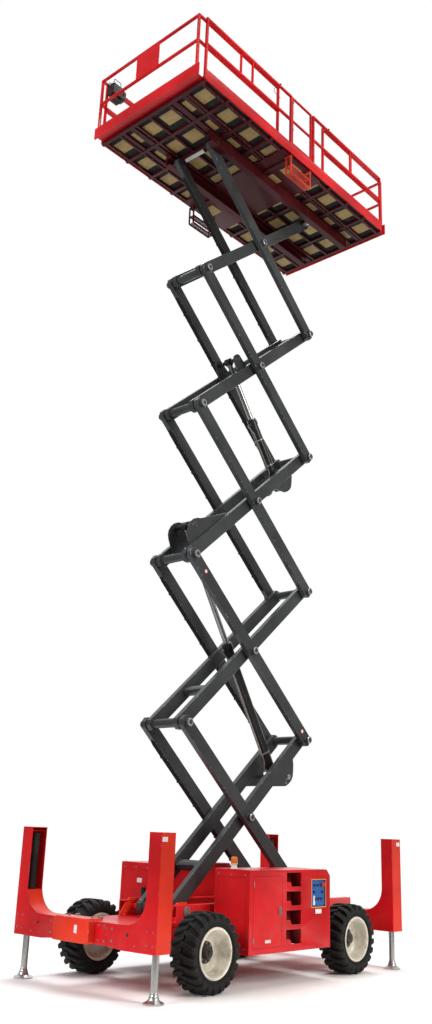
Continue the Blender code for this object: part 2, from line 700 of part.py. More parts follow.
def side_bar(x, front, rear, top, size=RAIL_TUBE):
    return block((x - size / 2, x + size / 2), (front, rear), (top - size, top))


def platform_deck():
    """Floor, ribs and the two channels with the front pivot holes, heights from the top pins."""
    floor_low = FLOOR_TOP - FLOOR_PLATE
    inner = PLATFORM_HALF_WIDTH - FASCIA_WALL - SEAT_GAP
    rib_top = floor_low - FLOOR_PLATE - RUN_GAP - SLIDE_GAP
    rib_low = rib_top - RIB_HEIGHT
    shapes = [block((-inner, inner), (MAIN_FRONT_Y, MAIN_REAR_Y), (floor_low, FLOOR_TOP))]
    shapes += both_sides(lambda: slide_channel(CHANNEL_FRONT_Y, CHANNEL_REAR_Y, 0.0,
                                               -SHOE_HEIGHT / 2 - RUN_GAP - CHANNEL_WALL,
                                               rib_low + 5 * STEP_IN))
    spacing = (MAIN_REAR_Y - MAIN_FRONT_Y - RIB_WIDTH) / (RIBS - 1)
    for i in range(RIBS):
        front = MAIN_FRONT_Y + i * spacing
        shapes.append(block((-inner, inner), (front, front + RIB_WIDTH), (rib_low, rib_top)))
    stringers = [(STRINGER_X, 6 * STEP_IN),
                 ((CHANNEL_FLANGE_X + 5 * STEP_IN, CHANNEL_WEB_X + 5 * STEP_IN), 4 * STEP_IN)]
    for across, rise in stringers:
        shapes += both_sides(lambda: block(across, (MAIN_FRONT_Y + rise, MAIN_REAR_Y - rise),
                                           (rib_low + rise, rib_top - STEP_IN)))
    middle = (FRONT_RAIL_END_Y + MIDDLE_BOX_GAP, REAR_RAIL_END_Y - MIDDLE_BOX_GAP)
    half = inner - 10 * STEP_IN
    shapes.append(block((-half, half), middle, (rib_low, FLOOR_TOP - STEP_IN)))
    hole = rod("x", BORE_RADIUS, -inner, inner, (FRONT_PIN_Y, 0.0))
    return welded(shapes, [hole])


def side_rail():
    """The near side rail: the toe board, with posts and bars in front of and behind the gate."""
    x = PLATFORM_HALF_WIDTH - RAIL_TUBE / 2
    gate_front, gate_rear = GATE_Y - GATE_WIDTH / 2, GATE_Y + GATE_WIDTH / 2
    front_post, rear_post = gate_front - RAIL_TUBE / 2, gate_rear + RAIL_TUBE / 2
    shapes = [block((PLATFORM_HALF_WIDTH - FASCIA_WALL, PLATFORM_HALF_WIDTH),
                    (MAIN_FRONT_Y, MAIN_REAR_Y), (FASCIA_BOTTOM, FASCIA_TOP))]
    low = FLOOR_TOP + SEAT_GAP
    first, last = MAIN_FRONT_Y + RAIL_TUBE / 2, MAIN_REAR_Y - RAIL_TUBE / 2
    for y in (first, front_post, rear_post, last):
        shapes.append(post(x, y, low, RAIL_TOP))
    for y in (FRONT_SHORT_POST_Y, REAR_SHORT_POST_Y):
        shapes.append(post(x, y, RAIL_MIDDLE - SHORT_POST_LAP, RAIL_TOP - SHORT_POST_LAP,
                           SHORT_POST_TUBE))
    for start, end in ((first, front_post), (rear_post, last)):
        for top in (RAIL_MIDDLE, RAIL_TOP):
            shapes.append(side_bar(x, start, end, top))
    return welded(shapes)


def extension(end_y, rail_end_y):
    """The front extension: floor plate, end plate, end rail and side bars inside the main ones."""
    x = PLATFORM_HALF_WIDTH - 1.5 * RAIL_TUBE - EXTENSION_GAP
    plate_top = FLOOR_TOP - FLOOR_PLATE - RUN_GAP
    outer = PLATFORM_HALF_WIDTH - FASCIA_WALL - EXTENSION_PLATE_GAP
    inside = end_y + END_PLATE
    shapes = [block((-PLATFORM_HALF_WIDTH, PLATFORM_HALF_WIDTH), (end_y, inside),
                    (FASCIA_BOTTOM, FASCIA_TOP)),
              block((-outer, outer), (end_y + END_PLATE / 2, rail_end_y - RAIL_TUBE / 2),
                    (plate_top - FLOOR_PLATE, plate_top))]
    corner_y = inside - END_PLATE / 2 + RAIL_TUBE / 2
    for side in (-1, 1):
        shapes.append(post(side * x, corner_y, FASCIA_BOTTOM + END_PLATE, RAIL_TOP))
        shapes.append(post(side * x, rail_end_y, FLOOR_TOP + RUN_GAP, RAIL_TOP))
        shapes.append(post(side * x, end_y + EXTENSION_SHORT_POST, RAIL_MIDDLE - SHORT_POST_LAP,
                           RAIL_TOP - SHORT_POST_LAP, SHORT_POST_TUBE))
        for top in (RAIL_MIDDLE, RAIL_TOP):
            shapes.append(side_bar(side * x, corner_y, rail_end_y, top))
    for top in (RAIL_MIDDLE, RAIL_TOP):
        shapes.append(block((-x, x), (corner_y - RAIL_TUBE / 2, corner_y + RAIL_TUBE / 2),
                            (top - RAIL_TUBE, top)))
    return welded(shapes)


def gate():
    """The near gate about its hinge line at its rear end, closed, running to -Y."""
    half = GATE_TUBE / 2
    length = GATE_WIDTH - HINGE_RADIUS - HINGE_GAP - RUN_GAP
    bottom = FASCIA_TOP + RUN_GAP
    top = RAIL_TOP - GATE_DROP
    shapes = [block((-half, half), (-length, -length + GATE_TUBE), (bottom, top)),
              block((-half, half), (-2 * GATE_TUBE, -GATE_TUBE), (bottom, top))]
    for height in (top, RAIL_MIDDLE, bottom + GATE_TUBE):
        shapes.append(block((-half, half), (-length + half, -GATE_TUBE - half),
                            (height - GATE_TUBE, height)))
    for height in (bottom + HINGE_LOW, RAIL_MIDDLE + HINGE_HIGH):
        shapes.append(rod("z", HINGE_RADIUS, height, height + HINGE_HEIGHT, sides=TUBE_SIDES))
        shapes.append(block((-HINGE_RADIUS / 2, HINGE_RADIUS / 2), (-GATE_TUBE - half, 0.0),
                            (height + GATE_DROP, height + HINGE_HEIGHT - GATE_DROP)))
    return welded(shapes)


def entry_step():
    """The near hanging step: two side plates, two treads and a back bar under the deck's edge."""
    outer = PLATFORM_HALF_WIDTH - STEP_IN
    inner = outer - STEP_WIDTH
    top = FLOOR_TOP - 2 * FLOOR_PLATE - RUN_GAP - SLIDE_GAP - RIB_HEIGHT - SEAT_GAP
    bottom = top - STEP_DROP
    half = STEP_LENGTH / 2
    shapes = [block((inner, outer), (y, y + STEP_PLATE), (bottom, top))
              for y in (STEP_Y - half, STEP_Y + half - STEP_PLATE)]
    for z in (bottom, bottom + STEP_DROP / 2):
        shapes.append(block((inner + STEP_TREAD_INSET, outer - STEP_TREAD_INSET),
                            (STEP_Y - half + STEP_IN, STEP_Y + half - STEP_IN),
                            (z + 2 * STEP_IN, z + 2 * STEP_IN + STEP_TREAD)))
    return welded(shapes)


def platform_control():
    """The upper control box on the far bar of the front extension."""
    x = -(PLATFORM_HALF_WIDTH - 2 * RAIL_TUBE - EXTENSION_GAP - SEAT_GAP)
    front, rear = [PLATFORM_FRONT_Y + y for y in CONTROL_BOX_Y]
    return block((x, x + CONTROL_BOX_WIDTH), (front, rear),
                 (RAIL_TOP - CONTROL_BOX_DROP, RAIL_TOP + CONTROL_BOX_RISE))


# ---------------------------------------------------------------- the whole machine

for leftover in list(bpy.data.objects):
    bpy.data.objects.remove(leftover, do_unlink=True)

ORIGIN = bpy.data.objects.new("lift_origin", None)
bpy.context.scene.collection.objects.link(ORIGIN)
ORIGIN.location = (0.0, LIFT_ORIGIN_Y, 0.0)

RED = finish("red_paint", (0.68, 0.010, 0.014), 0.40)
ORANGE = finish("orange_paint", (0.80, 0.060, 0.012), 0.42)
CHARCOAL = finish("charcoal_paint", (0.058, 0.062, 0.066), 0.50)
BLACK = finish("black_paint", (0.012, 0.012, 0.013), 0.50)
RUBBER = finish("tyre_rubber", (0.014, 0.014, 0.014), 0.85)
CREAM = finish("rim_paint", (0.74, 0.70, 0.58), 0.45)
STEEL = finish("bright_steel", (0.62, 0.62, 0.60), 0.25, 1.0)
BLUE = finish("blue_panel", (0.010, 0.100, 0.360), 0.45)
AMBER = finish("amber_lens", (0.90, 0.240, 0.020), 0.20)

add_part("chassis_frame", chassis_frame(), RED)
for side_name, across in (("near", 1), ("far", -1)):
    for end_name, end in (("front", -1), ("rear", 1)):
        arm = outrigger()
        if end > 0:
            arm = reversed_ends(arm)
        if across < 0:
            arm = mirrored(arm)
        add_part(f"{end_name}_{side_name}_outrigger", arm, RED)
        add_part(f"{end_name}_{side_name}_jack_leg", jack_leg(), STEEL,
                 (across * JACK_X, end * FOOT_Y, 0.0), smooth=True)
        hub = (across * WHEEL_X, end * WHEELBASE / 2, TYRE_RADIUS)
        for piece, make, material in (("tyre", tyre, RUBBER), ("rim", rim, CREAM)):
            wheel = make()
            if across < 0:
                wheel = mirrored(wheel)
            add_part(f"{end_name}_{side_name}_{piece}", wheel, material, hub, smooth=True)
    stub = knuckle()
    if across < 0:
        stub = mirrored(stub)
    add_part(f"{side_name}_knuckle", stub, BLACK, (across * KINGPIN_X, -WHEELBASE / 2, TYRE_RADIUS))

add_part("front_axle", front_axle(), BLACK)
add_part("rear_axle", rear_axle(), BLACK)
add_part("near_cabinet", near_cabinet(), RED)
add_part("far_cabinet", far_cabinet(), RED)
add_part("ground_control_panel", control_panel(), BLUE)
add_part("engine_block", engine_block(), BLACK)
add_part("beacon", beacon(), AMBER, (BEACON_X, BEACON_Y, CABINET_TOP_Z + SEAT_GAP), smooth=True)

for stage in range(STAGES):
    base_z = BASE_PIN_Z + stage * STAGE_HEIGHT
    add_part(f"inner_frame_{stage + 1}", inner_frame(stage), CHARCOAL, (0.0, FRONT_PIN_Y, base_z),
             ARM_ANGLE)
    add_part(f"outer_frame_{stage + 1}", outer_frame(stage), CHARCOAL,
             (0.0, SCISSOR_Y, base_z + STAGE_HEIGHT / 2), -ARM_ANGLE)

add_part("lower_slide_shoes", slide_shoes(), STEEL, (0.0, REAR_PIN_Y, BASE_PIN_Z))
add_part("upper_slide_shoes", slide_shoes(), STEEL, (0.0, REAR_PIN_Y, TOP_PIN_Z))

for name, foot_stage, horn_stage, horn, barrel_length, rod_length in (
        ("lower", 0, 2, (LOWER_HORN_ALONG, LOWER_HORN_RISE), LOWER_BARREL_LENGTH, LOWER_ROD_LENGTH),
        ("upper", 2, 3, (UPPER_HORN_ALONG, UPPER_HORN_RISE), UPPER_BARREL_LENGTH, UPPER_ROD_LENGTH)):
    foot = frame_point(foot_stage, LUG_ALONG, -LUG_DROP)
    head = frame_point(horn_stage, *horn)
    lean = math.atan2(head[1] - foot[1], head[0] - foot[0])
    add_part(f"{name}_cylinder_barrel", cylinder_barrel(barrel_length), BLACK, (0.0, *foot), lean,
             smooth=True)
    add_part(f"{name}_cylinder_rod", cylinder_rod(rod_length), STEEL, (0.0, *head), lean,
             smooth=True)

add_part("platform_deck", platform_deck(), RED, (0.0, 0.0, TOP_PIN_Z))
for side_name, across in (("near", 1), ("far", -1)):
    hinge = (across * (PLATFORM_HALF_WIDTH - RAIL_TUBE / 2),
             GATE_Y + GATE_WIDTH / 2 - HINGE_RADIUS - HINGE_GAP, TOP_PIN_Z)
    for name, make, material, pivot in (
            ("side_rail", side_rail, RED, (0.0, 0.0, TOP_PIN_Z)),
            ("gate", gate, RED, hinge),
            ("entry_step", entry_step, ORANGE, (0.0, 0.0, TOP_PIN_Z))):
        shape = make()
        if across < 0:
            shape = mirrored(shape)
        add_part(f"{side_name}_{name}", shape, material, pivot)
add_part("front_extension", extension(PLATFORM_FRONT_Y, FRONT_RAIL_END_Y), RED, (0.0, 0.0, TOP_PIN_Z))
add_part("rear_extension", reversed_ends(extension(-PLATFORM_REAR_Y, -REAR_RAIL_END_Y)), RED,
         (0.0, 0.0, TOP_PIN_Z))
add_part("platform_control_box", platform_control(), BLACK, (0.0, 0.0, TOP_PIN_Z))
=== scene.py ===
"""A rough-terrain scissor lift with its stack raised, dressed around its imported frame."""

import json
import math

import bmesh
import bpy
import numpy as np
from mathutils import Matrix


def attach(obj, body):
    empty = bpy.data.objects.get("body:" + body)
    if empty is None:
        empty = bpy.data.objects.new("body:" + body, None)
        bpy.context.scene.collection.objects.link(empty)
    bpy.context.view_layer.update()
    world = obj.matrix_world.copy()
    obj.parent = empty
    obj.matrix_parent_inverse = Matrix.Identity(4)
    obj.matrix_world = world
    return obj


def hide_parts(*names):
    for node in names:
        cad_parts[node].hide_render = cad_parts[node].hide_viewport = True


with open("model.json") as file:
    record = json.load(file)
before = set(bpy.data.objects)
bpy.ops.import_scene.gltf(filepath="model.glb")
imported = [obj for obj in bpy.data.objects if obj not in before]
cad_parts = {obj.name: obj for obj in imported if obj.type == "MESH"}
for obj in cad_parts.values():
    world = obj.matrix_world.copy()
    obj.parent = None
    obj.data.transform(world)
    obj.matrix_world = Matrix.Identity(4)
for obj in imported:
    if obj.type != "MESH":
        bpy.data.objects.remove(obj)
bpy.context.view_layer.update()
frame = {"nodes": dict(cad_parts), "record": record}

# ---------------------------------------------------------------- sizes, in metres
# Y is measured from midway between the axles; the finished meshes are moved by SHIFT_Y.
SHIFT_Y = -0.085
AXLE_Y = 1.418
WHEEL_X = 0.968
WHEEL_Z = 0.428
ARM_LENGTH = 3.384
ARM_ANGLE = math.radians(41.02)
ARM_HALF_DEPTH = 0.090
ARM_END = 0.085
INNER_X = (0.200, 0.280)
OUTER_X = (0.300, 0.380)
BASE_PIN_Z = 0.807
STACK_Y = 0.021
STAGES = 5
RISE = ARM_LENGTH * math.sin(ARM_ANGLE)
SPAN = ARM_LENGTH * math.cos(ARM_ANGLE)
FRONT_PIN_Y = STACK_Y - SPAN / 2
REAR_PIN_Y = STACK_Y + SPAN / 2
TOP_PIN_Z = BASE_PIN_Z + STAGES * RISE
CABINET_X = (0.560, 1.1175)
CABINET_Y = (-0.833, 0.820)
CABINET_Z = (0.365, 1.300)
OUTRIGGER_Y = (2.230, 2.460)
COLUMN_X = (1.020, 1.200)
COLUMN_TOP = 1.700
JACK_X = 1.095
JACK_Y = 2.345
HALF_WIDTH = 1.120
RAIL = 0.036
FLOOR = 0.197
TOP_BAR = 1.278
MAIN_Y = (-2.280, 2.480)
PLATFORM_Y = (-2.427, 2.596)
GATE_Y = (-0.195, 0.385)
SEAT = 0.0006
MERGE = 1e-5
NEAR_FAR = (("near", 1), ("far", -1))
FRONT_REAR = (("front", -1), ("rear", 1))


# ---------------------------------------------------------------- surfaces
# A surface is (points, faces, edges): edges is 1 for the narrow faces along its worn edges.

def grid_faces(rows, columns, wrap=False):
    """Quads between neighbours of a grid of rows by columns whose columns always close on themselves."""
    r = np.arange(rows if wrap else rows - 1)[:, None]
    c = np.arange(columns)[None, :]
    after, beside = (r + 1) % rows, (c + 1) % columns
    quads = np.stack(np.broadcast_arrays(r * columns + c, r * columns + beside,
                                         after * columns + beside, after * columns + c), -1)
    return quads.reshape(-1, 4).tolist()


def lofted(rings, wrap=False, bevels=()):
    """Rings of the same number of points joined in order, closed by a face at each end. The bands
    between rings i and i + 1 for each i in bevels are edges."""
    rings = np.asarray(rings, float)
    rows, columns = rings.shape[:2]
    faces = grid_faces(rows, columns, wrap)
    edges = np.isin(np.repeat(np.arange(len(faces) // columns), columns), bevels).astype(float).tolist()
    if not wrap:
        faces += [list(range(columns)), list(range((rows - 1) * columns, rows * columns))]
        edges += [0.0, 0.0]
    return rings.reshape(-1, 3), faces, edges


def along_axis(flat, axis, level):
    """Points (u, v) of the plane square to an axis, placed at a level on that axis."""
    points = np.empty((len(flat), 3))
    others = [i for i in range(3) if i != axis]
    points[:, others] = flat
    points[:, axis] = level
    return points


def inset(outline, distance):
    """Each point of a closed outline moved inwards along its corner's bisector, so that every side
    moves by the same distance."""
    points = np.asarray(outline, float)
    area = np.sum(points[:, 0] * np.roll(points[:, 1], -1) - np.roll(points[:, 0], -1) * points[:, 1])
    sides = np.roll(points, -1, 0) - points
    sides /= np.linalg.norm(sides, axis=1)[:, None]
    normals = np.stack([-sides[:, 1], sides[:, 0]], -1) * math.copysign(1.0, area)
    bisector = normals + np.roll(normals, 1, 0)
    bisector /= np.maximum(np.sum(bisector * normals, 1), 0.35)[:, None]
    return points + distance * bisector


def plate(outline, axis, low, high, edge=0.003):
    """A closed outline carried along an axis from low to high, its rims bevelled by edge."""
    small = inset(outline, edge)
    levels = ((small, low), (np.asarray(outline, float), low + edge),
              (np.asarray(outline, float), high - edge), (small, high))
    return lofted([along_axis(flat, axis, level) for flat, level in levels], bevels=(0, 2))


def rounded(width, height, radius, centre=(0.0, 0.0), steps=3):
    """A rectangle's outline with quarter circles of steps sides at its corners, anticlockwise."""
    turn = np.linspace(0.0, math.pi / 2, steps + 1)[None, :] + np.arange(4)[:, None] * math.pi / 2
    across = np.repeat([1, -1, -1, 1], steps + 1) * (width / 2 - radius) + radius * np.cos(turn.ravel())
    up = np.repeat([1, 1, -1, -1], steps + 1) * (height / 2 - radius) + radius * np.sin(turn.ravel())
    return np.stack([across + centre[0], up + centre[1]], -1)


def bar(low, high, edge=0.004, steps=2):
    """A rectangle with rounded corners carried along the longest side of the box from low to high,
    and drawn in by edge at both ends."""
    low, high = np.minimum(low, high), np.maximum(low, high)
    size, middle = high - low, (high + low) / 2
    axis = int(np.argmax(size))
    others = [i for i in range(3) if i != axis]
    edge = min(edge, 0.45 * float(size[others].min()))
    centre = middle[others]
    full = rounded(*size[others], edge, centre, steps)
    drawn = rounded(*(size[others] - edge), edge / 2, centre, steps)
    levels = ((drawn, low[axis]), (full, low[axis] + edge / 2), (full, high[axis] - edge / 2),
              (drawn, high[axis]))
    points, faces, edges = lofted([along_axis(flat, axis, level) for flat, level in levels], bevels=(0, 2))
    columns = len(full)
    for i in range(columns):
        if i % (steps + 1) != steps:
            edges[columns + i] = 1.0
    return points, faces, edges


def turned(profile, centre, axis=0, sides=32, wrap=False, flip=1, bevels=()):
    """A profile of (along, radius) points spun round an axis through centre. An open profile is
    closed by a face at each end; flip -1 turns it end for end."""
    profile = np.asarray(profile, float)
    turn = 2 * math.pi * np.arange(sides) / sides
    others = [i for i in range(3) if i != axis]
    rings = np.empty((len(profile), sides, 3))
    rings[..., axis] = profile[:, :1] * flip
    rings[..., others[0]] = profile[:, 1:] * np.cos(turn)
    rings[..., others[1]] = profile[:, 1:] * np.sin(turn)
    return lofted(rings + np.asarray(centre, float), wrap, bevels)


def tube(path, radius, sides=10, closed=False):
    """A circle carried along a path. Each ring stands square to the path's direction there, and its
    first point is turned least from the ring before."""
    path = np.asarray(path, float)
    if closed:
        ahead, behind = np.roll(path, -1, 0), np.roll(path, 1, 0)
    else:
        ahead = np.concatenate([path[1:], path[-1:]])
        behind = np.concatenate([path[:1], path[:-1]])
    heading = ahead - behind
    heading /= np.linalg.norm(heading, axis=1)[:, None]
    side = np.cross(heading[0], (0.0, 0.0, 1.0) if abs(heading[0][2]) < 0.9 else (1.0, 0.0, 0.0))
    sides_list = []
    for direction in heading:
        side = side - direction * np.dot(side, direction)
        side /= np.linalg.norm(side)
        sides_list.append(side)
    across = np.array(sides_list)
    up = np.cross(heading, across)
    turn = 2 * math.pi * np.arange(sides) / sides
    rings = (path[:, None] + radius * (across[:, None] * np.cos(turn)[None, :, None]
                                       + up[:, None] * np.sin(turn)[None, :, None]))
    return lofted(rings, wrap=closed)


def smooth_path(corners, bend=0.05, steps=5):
    """A path through corners whose bends are quadratic curves that start and end bend away from each."""
    corners = np.asarray(corners, float)
    out = [corners[:1]]
    t = np.linspace(0.0, 1.0, steps)[:, None]
    for before, here, after in zip(corners, corners[1:], corners[2:]):
        start = here + (before - here) / np.linalg.norm(before - here) * bend
        end = here + (after - here) / np.linalg.norm(after - here) * bend
        out.append((1 - t) ** 2 * start + 2 * t * (1 - t) * here + t ** 2 * end)
    out.append(corners[-1:])
    return np.concatenate(out)


def bolt(centre, axis, size=0.010, flip=1):
    """A six-sided head on a washer, spun round an axis."""
    head = turned([(0.0, size * 1.05), (size * 0.8, size * 1.05), (size, size * 0.8)], centre, axis, 6,
                  flip=flip)
    washer = turned([(-0.001, size * 1.5), (size * 0.25, size * 1.45)], centre, axis, 12, flip=flip)
    return [head, washer]


def tilt(angle, origin):
    """A turn about the X axis followed by a move to origin, as a 4 by 4 table."""
    c, s = math.cos(angle), math.sin(angle)
    table = np.eye(4)
    table[1:3, 1:3] = ((c, -s), (s, c))
    table[:3, 3] = origin
    return table


class Shape:
    """Gathers surfaces into one piece."""

    def __init__(self):
        self.points, self.faces, self.edges, self.total = [], [], [], 0

    def add(self, *surfaces, place=None, both=False, side=1):
        """Adds surfaces, moved by a place, on the near side, the far side (-1) or on both."""
        for points, faces, edges in surfaces:
            if place is not None:
                points = points @ place[:3, :3].T + place[:3, 3]
            for across in (1, -1) if both else (side,):
                self.points.append(points * (across, 1, 1))
                self.faces += [[i + self.total for i in face] for face in faces]
                self.edges += edges
                self.total += len(points)
        return self

    def make(self, name, body, finish, slot, replaces=(), sharp=32.0):
        """One mesh object that rides on a body, its doubles merged and its faces turned outwards."""
        mesh = bpy.data.meshes.new(name)
        mesh.from_pydata((np.concatenate(self.points) + (0.0, SHIFT_Y, 0.0)).tolist(), [], self.faces)
        mesh.attributes.new("worn_edge", "FLOAT", "FACE").data.foreach_set("value", self.edges)
        work = bmesh.new()
        work.from_mesh(mesh)
        bmesh.ops.remove_doubles(work, verts=work.verts, dist=MERGE)
        bmesh.ops.recalc_face_normals(work, faces=work.faces)
        work.to_mesh(mesh)
        work.free()
        mesh.shade_smooth()
        mesh.set_sharp_from_angle(angle=math.radians(sharp))
        mesh.materials.append(finish)
        piece = bpy.data.objects.new(name, mesh)
        bpy.context.scene.collection.objects.link(piece)
        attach(piece, body)
        if replaces:
            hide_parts(*replaces)
        return piece


# ---------------------------------------------------------------- finishes

class Wire:
    """A shader socket that takes arithmetic: each operator adds the Math node that it names."""

    def __init__(self, finish, socket):
        self.finish, self.socket = finish, socket

    def maths(self, operation, *values):
        return self.finish.node("ShaderNodeMath", {"operation": operation}, dict(enumerate(values)))

    def __add__(self, other):
        return self.maths("ADD", self, other)

    def __mul__(self, other):
        return self.maths("MULTIPLY", self, other)

    def __sub__(self, other):
        return self.maths("SUBTRACT", self, other)

    def __rsub__(self, other):
        return self.maths("SUBTRACT", other, self)

    __radd__ = __add__
    __rmul__ = __mul__

    def between(self, low, high, to_low=0.0, to_high=1.0):
        """A smooth step that rises from to_low at low to to_high at high."""
        return self.finish.node("ShaderNodeMapRange", {"interpolation_type": "SMOOTHSTEP"},
                                {"Value": self, "From Min": low, "From Max": high,
                                 "To Min": to_low, "To Max": to_high})


class Finish:
    """A material under construction."""

    def __init__(self, name, **constants):
        self.material = bpy.data.materials.new(name)
        self.material.use_nodes = True
        self.tree = self.material.node_tree
        self.tree.nodes.clear()
        self.shader = self.tree.nodes.new("ShaderNodeBsdfPrincipled")
        output = self.tree.nodes.new("ShaderNodeOutputMaterial")
        self.tree.links.new(self.shader.outputs[0], output.inputs[0])
        for socket, value in constants.items():
            self.shader.inputs[socket.replace("_", " ")].default_value = value
        self.place = self.node("ShaderNodeTexCoord", {}, {}, "Object")

    def node(self, kind, settings, sockets, output=0):
        """Adds a node from its type, its settings and its sockets' values or links."""
        made = self.tree.nodes.new(kind)
        for key, value in settings.items():
            setattr(made, key, value)
        for key, value in sockets.items():
            if isinstance(value, Wire):
                self.tree.links.new(value.socket, made.inputs[key])
            else:
                made.inputs[key].default_value = value
        return Wire(self, made.outputs[output])

    def noise(self, scale, detail=4.0, rough=0.55, stretch=(1.0, 1.0, 1.0), shift=0.0):
        place = self.node("ShaderNodeMapping", {}, {"Vector": self.place, "Scale": stretch,
                                                    "Location": (shift, shift, shift)})
        return self.node("ShaderNodeTexNoise", {}, {"Vector": place, "Scale": scale, "Detail": detail,
                                                    "Roughness": rough})

    def axis(self, name):
        return self.node("ShaderNodeSeparateXYZ", {}, {"Vector": self.place}, name)

    def edge(self):
        return self.node("ShaderNodeAttribute", {"attribute_name": "worn_edge"}, {}, "Fac")

    def colour(self, share, first, second):
        """Mixes two colours, each four numbers or a wire, by a share."""
        mix = self.tree.nodes.new("ShaderNodeMix")
        mix.data_type = "RGBA"
        for socket, value in ((mix.inputs[0], share), (mix.inputs[6], first), (mix.inputs[7], second)):
            if isinstance(value, Wire):
                self.tree.links.new(value.socket, socket)
            else:
                socket.default_value = value
        return Wire(self, mix.outputs[2])

    def bump(self, height, strength, distance):
        return self.node("ShaderNodeBump", {}, {"Height": height, "Strength": strength,
                                                "Distance": distance})

    def feed(self, **wires):
        for socket, wire in wires.items():
            self.tree.links.new(wire.socket, self.shader.inputs[socket.replace("_", " ")])
        return self.material


def tone(red, green, blue):
    return red, green, blue, 1.0


def paint(name, colour, rough=0.30, coat=0.28, dirt=0.18, bare=tone(0.30, 0.29, 0.28), depth=1.0,
          shine=0.24, peel_strength=0.10):
    """Sprayed paint on steel: slow changes of tone, orange peel, dust that settles low down, fine scuffs,
    and chips along the edges that show primer and steel."""
    f = Finish(name, Coat_Weight=coat, Coat_Roughness=0.08, Specular_IOR_Level=shine)
    drift = f.noise(0.9, 3.0)
    grain = f.noise(34.0, 5.0, 0.6)
    scuff = f.noise(7.0, 6.0, 0.7, (1.0, 1.0, 6.0), 3.1).between(0.60, 0.74)
    low = f.axis("Z").between(1.0, 0.15)
    dust = f.noise(4.5, 6.0, 0.65, shift=7.7).between(0.42, 0.72) * (low * 0.7 + 0.10) * dirt
    chip = f.edge() * f.noise(26.0, 4.0, 0.6, shift=1.3).between(0.56, 0.64)
    light = tuple(min(1.0, c * 1.22 + 0.004) for c in colour[:3]) + (1.0,)
    dark = tuple(c * (1.0 - 0.24 * depth) for c in colour[:3]) + (1.0,)
    tint = f.colour(drift.between(0.32, 0.68), dark, light)
    tint = f.colour(grain.between(0.3, 0.8) * 0.12, tint, dark)
    tint = f.colour(scuff * 0.22, tint, light)
    tint = f.colour(dust, tint, tone(0.30, 0.25, 0.19))
    tint = f.colour(chip * 0.75, tint, bare)
    roughness = grain * 0.10 + scuff * 0.16 + dust * 0.45 + chip * 0.2 + (rough - 0.05)
    peel = f.noise(150.0, 2.0, 0.5)
    height = peel * 0.5 + grain * 0.25 - chip * 0.9
    return f.feed(Base_Color=tint, Roughness=roughness, Normal=f.bump(height, peel_strength, 0.002))


def rubber(name, colour, dust_low=True):
    """Moulded rubber: fine pores, grey scuffs and soil in the low and worn places."""
    f = Finish(name, Specular_IOR_Level=0.22)
    pores = f.noise(260.0, 3.0)
    blotch = f.noise(9.0, 6.0, 0.68)
    soil = blotch.between(0.55, 0.78) * (f.axis("Z").between(0.55, 0.02) * 0.4 + 0.08)
    tint = f.colour(blotch.between(0.3, 0.7), colour, tuple(c * 1.7 for c in colour[:3]) + (1.0,))
    tint = f.colour(soil * (0.34 if dust_low else 0.15), tint, tone(0.13, 0.105, 0.08))
    tint = f.colour(f.edge() * pores.between(0.45, 0.65) * 0.35, tint, tone(0.10, 0.10, 0.10))
    return f.feed(Base_Color=tint, Roughness=blotch * 0.22 + 0.56,
                  Normal=f.bump(pores * 0.6 + blotch * 0.5, 0.35, 0.002))


def metal(name, colour, rough, stretch=(1.0, 1.0, 14.0), grime=0.3):
    """Machined or plated steel: drawn grain along one axis, faint stains and oily grime."""
    f = Finish(name)
    drawn = f.noise(42.0, 4.0, 0.6, stretch)
    stain = f.noise(6.0, 5.0, 0.65).between(0.45, 0.75)
    tint = f.colour(drawn.between(0.25, 0.75), tuple(c * 0.82 for c in colour[:3]) + (1.0,), colour)
    tint = f.colour(stain * grime, tint, tone(0.09, 0.075, 0.06))
    return f.feed(Base_Color=tint, Roughness=drawn * 0.18 + stain * 0.2 * grime + rough,
                  Metallic=1.0 - stain * grime * 0.6, Normal=f.bump(drawn, 0.12, 0.001))


def plastic(name, colour, rough=0.38, **constants):
    """Moulded plastic: a fine sand texture, slight fading and a little dust."""
    f = Finish(name, **constants)
    sand = f.noise(420.0, 2.0)
    fade = f.noise(5.0, 4.0)
    tint = f.colour(fade.between(0.3, 0.7), tuple(c * 0.8 for c in colour[:3]) + (1.0,), colour)
    tint = f.colour(f.noise(18.0, 5.0, 0.7, shift=2.2).between(0.58, 0.76) * 0.2, tint, tone(0.4, 0.37, 0.32))
    return f.feed(Base_Color=tint, Roughness=fade * 0.15 + rough, Normal=f.bump(sand, 0.18, 0.0006))


TREAD_PITCH = 82.0  # radians to the metre


def tread_plate(name, colour):
    """Painted chequer plate: raised lozenges laid two ways in turn, rubbed bright on top."""
    f = Finish(name)
    x, y = f.axis("X") * TREAD_PITCH, f.axis("Y") * TREAD_PITCH
    raised = ((x + y).maths("SINE", x + y) * (x - y).maths("SINE", x - y)).between(0.35, 0.6)
    wear = f.noise(3.0, 6.0, 0.7).between(0.45, 0.7)
    tint = f.colour(wear * 0.5, colour, tone(0.24, 0.22, 0.21))
    tint = f.colour(raised * wear * 0.7, tint, tone(0.42, 0.41, 0.40))
    return f.feed(Base_Color=tint, Roughness=wear * 0.2 + 0.42, Normal=f.bump(raised, 0.5, 0.003))


def boards(name, colour):
    """Phenolic-faced floor boards seen from below: long grain and dark stains."""
    f = Finish(name)
    grain = f.noise(9.0, 6.0, 0.62, (1.0, 9.0, 1.0))
    stain = f.noise(2.6, 5.0, 0.6)
    tint = f.colour(grain.between(0.3, 0.7), tuple(c * 0.72 for c in colour[:3]) + (1.0,), colour)
    tint = f.colour(stain.between(0.5, 0.75) * 0.45, tint, tone(0.20, 0.12, 0.06))
    return f.feed(Base_Color=tint, Roughness=grain * 0.2 + 0.55, Normal=f.bump(grain, 0.25, 0.002))


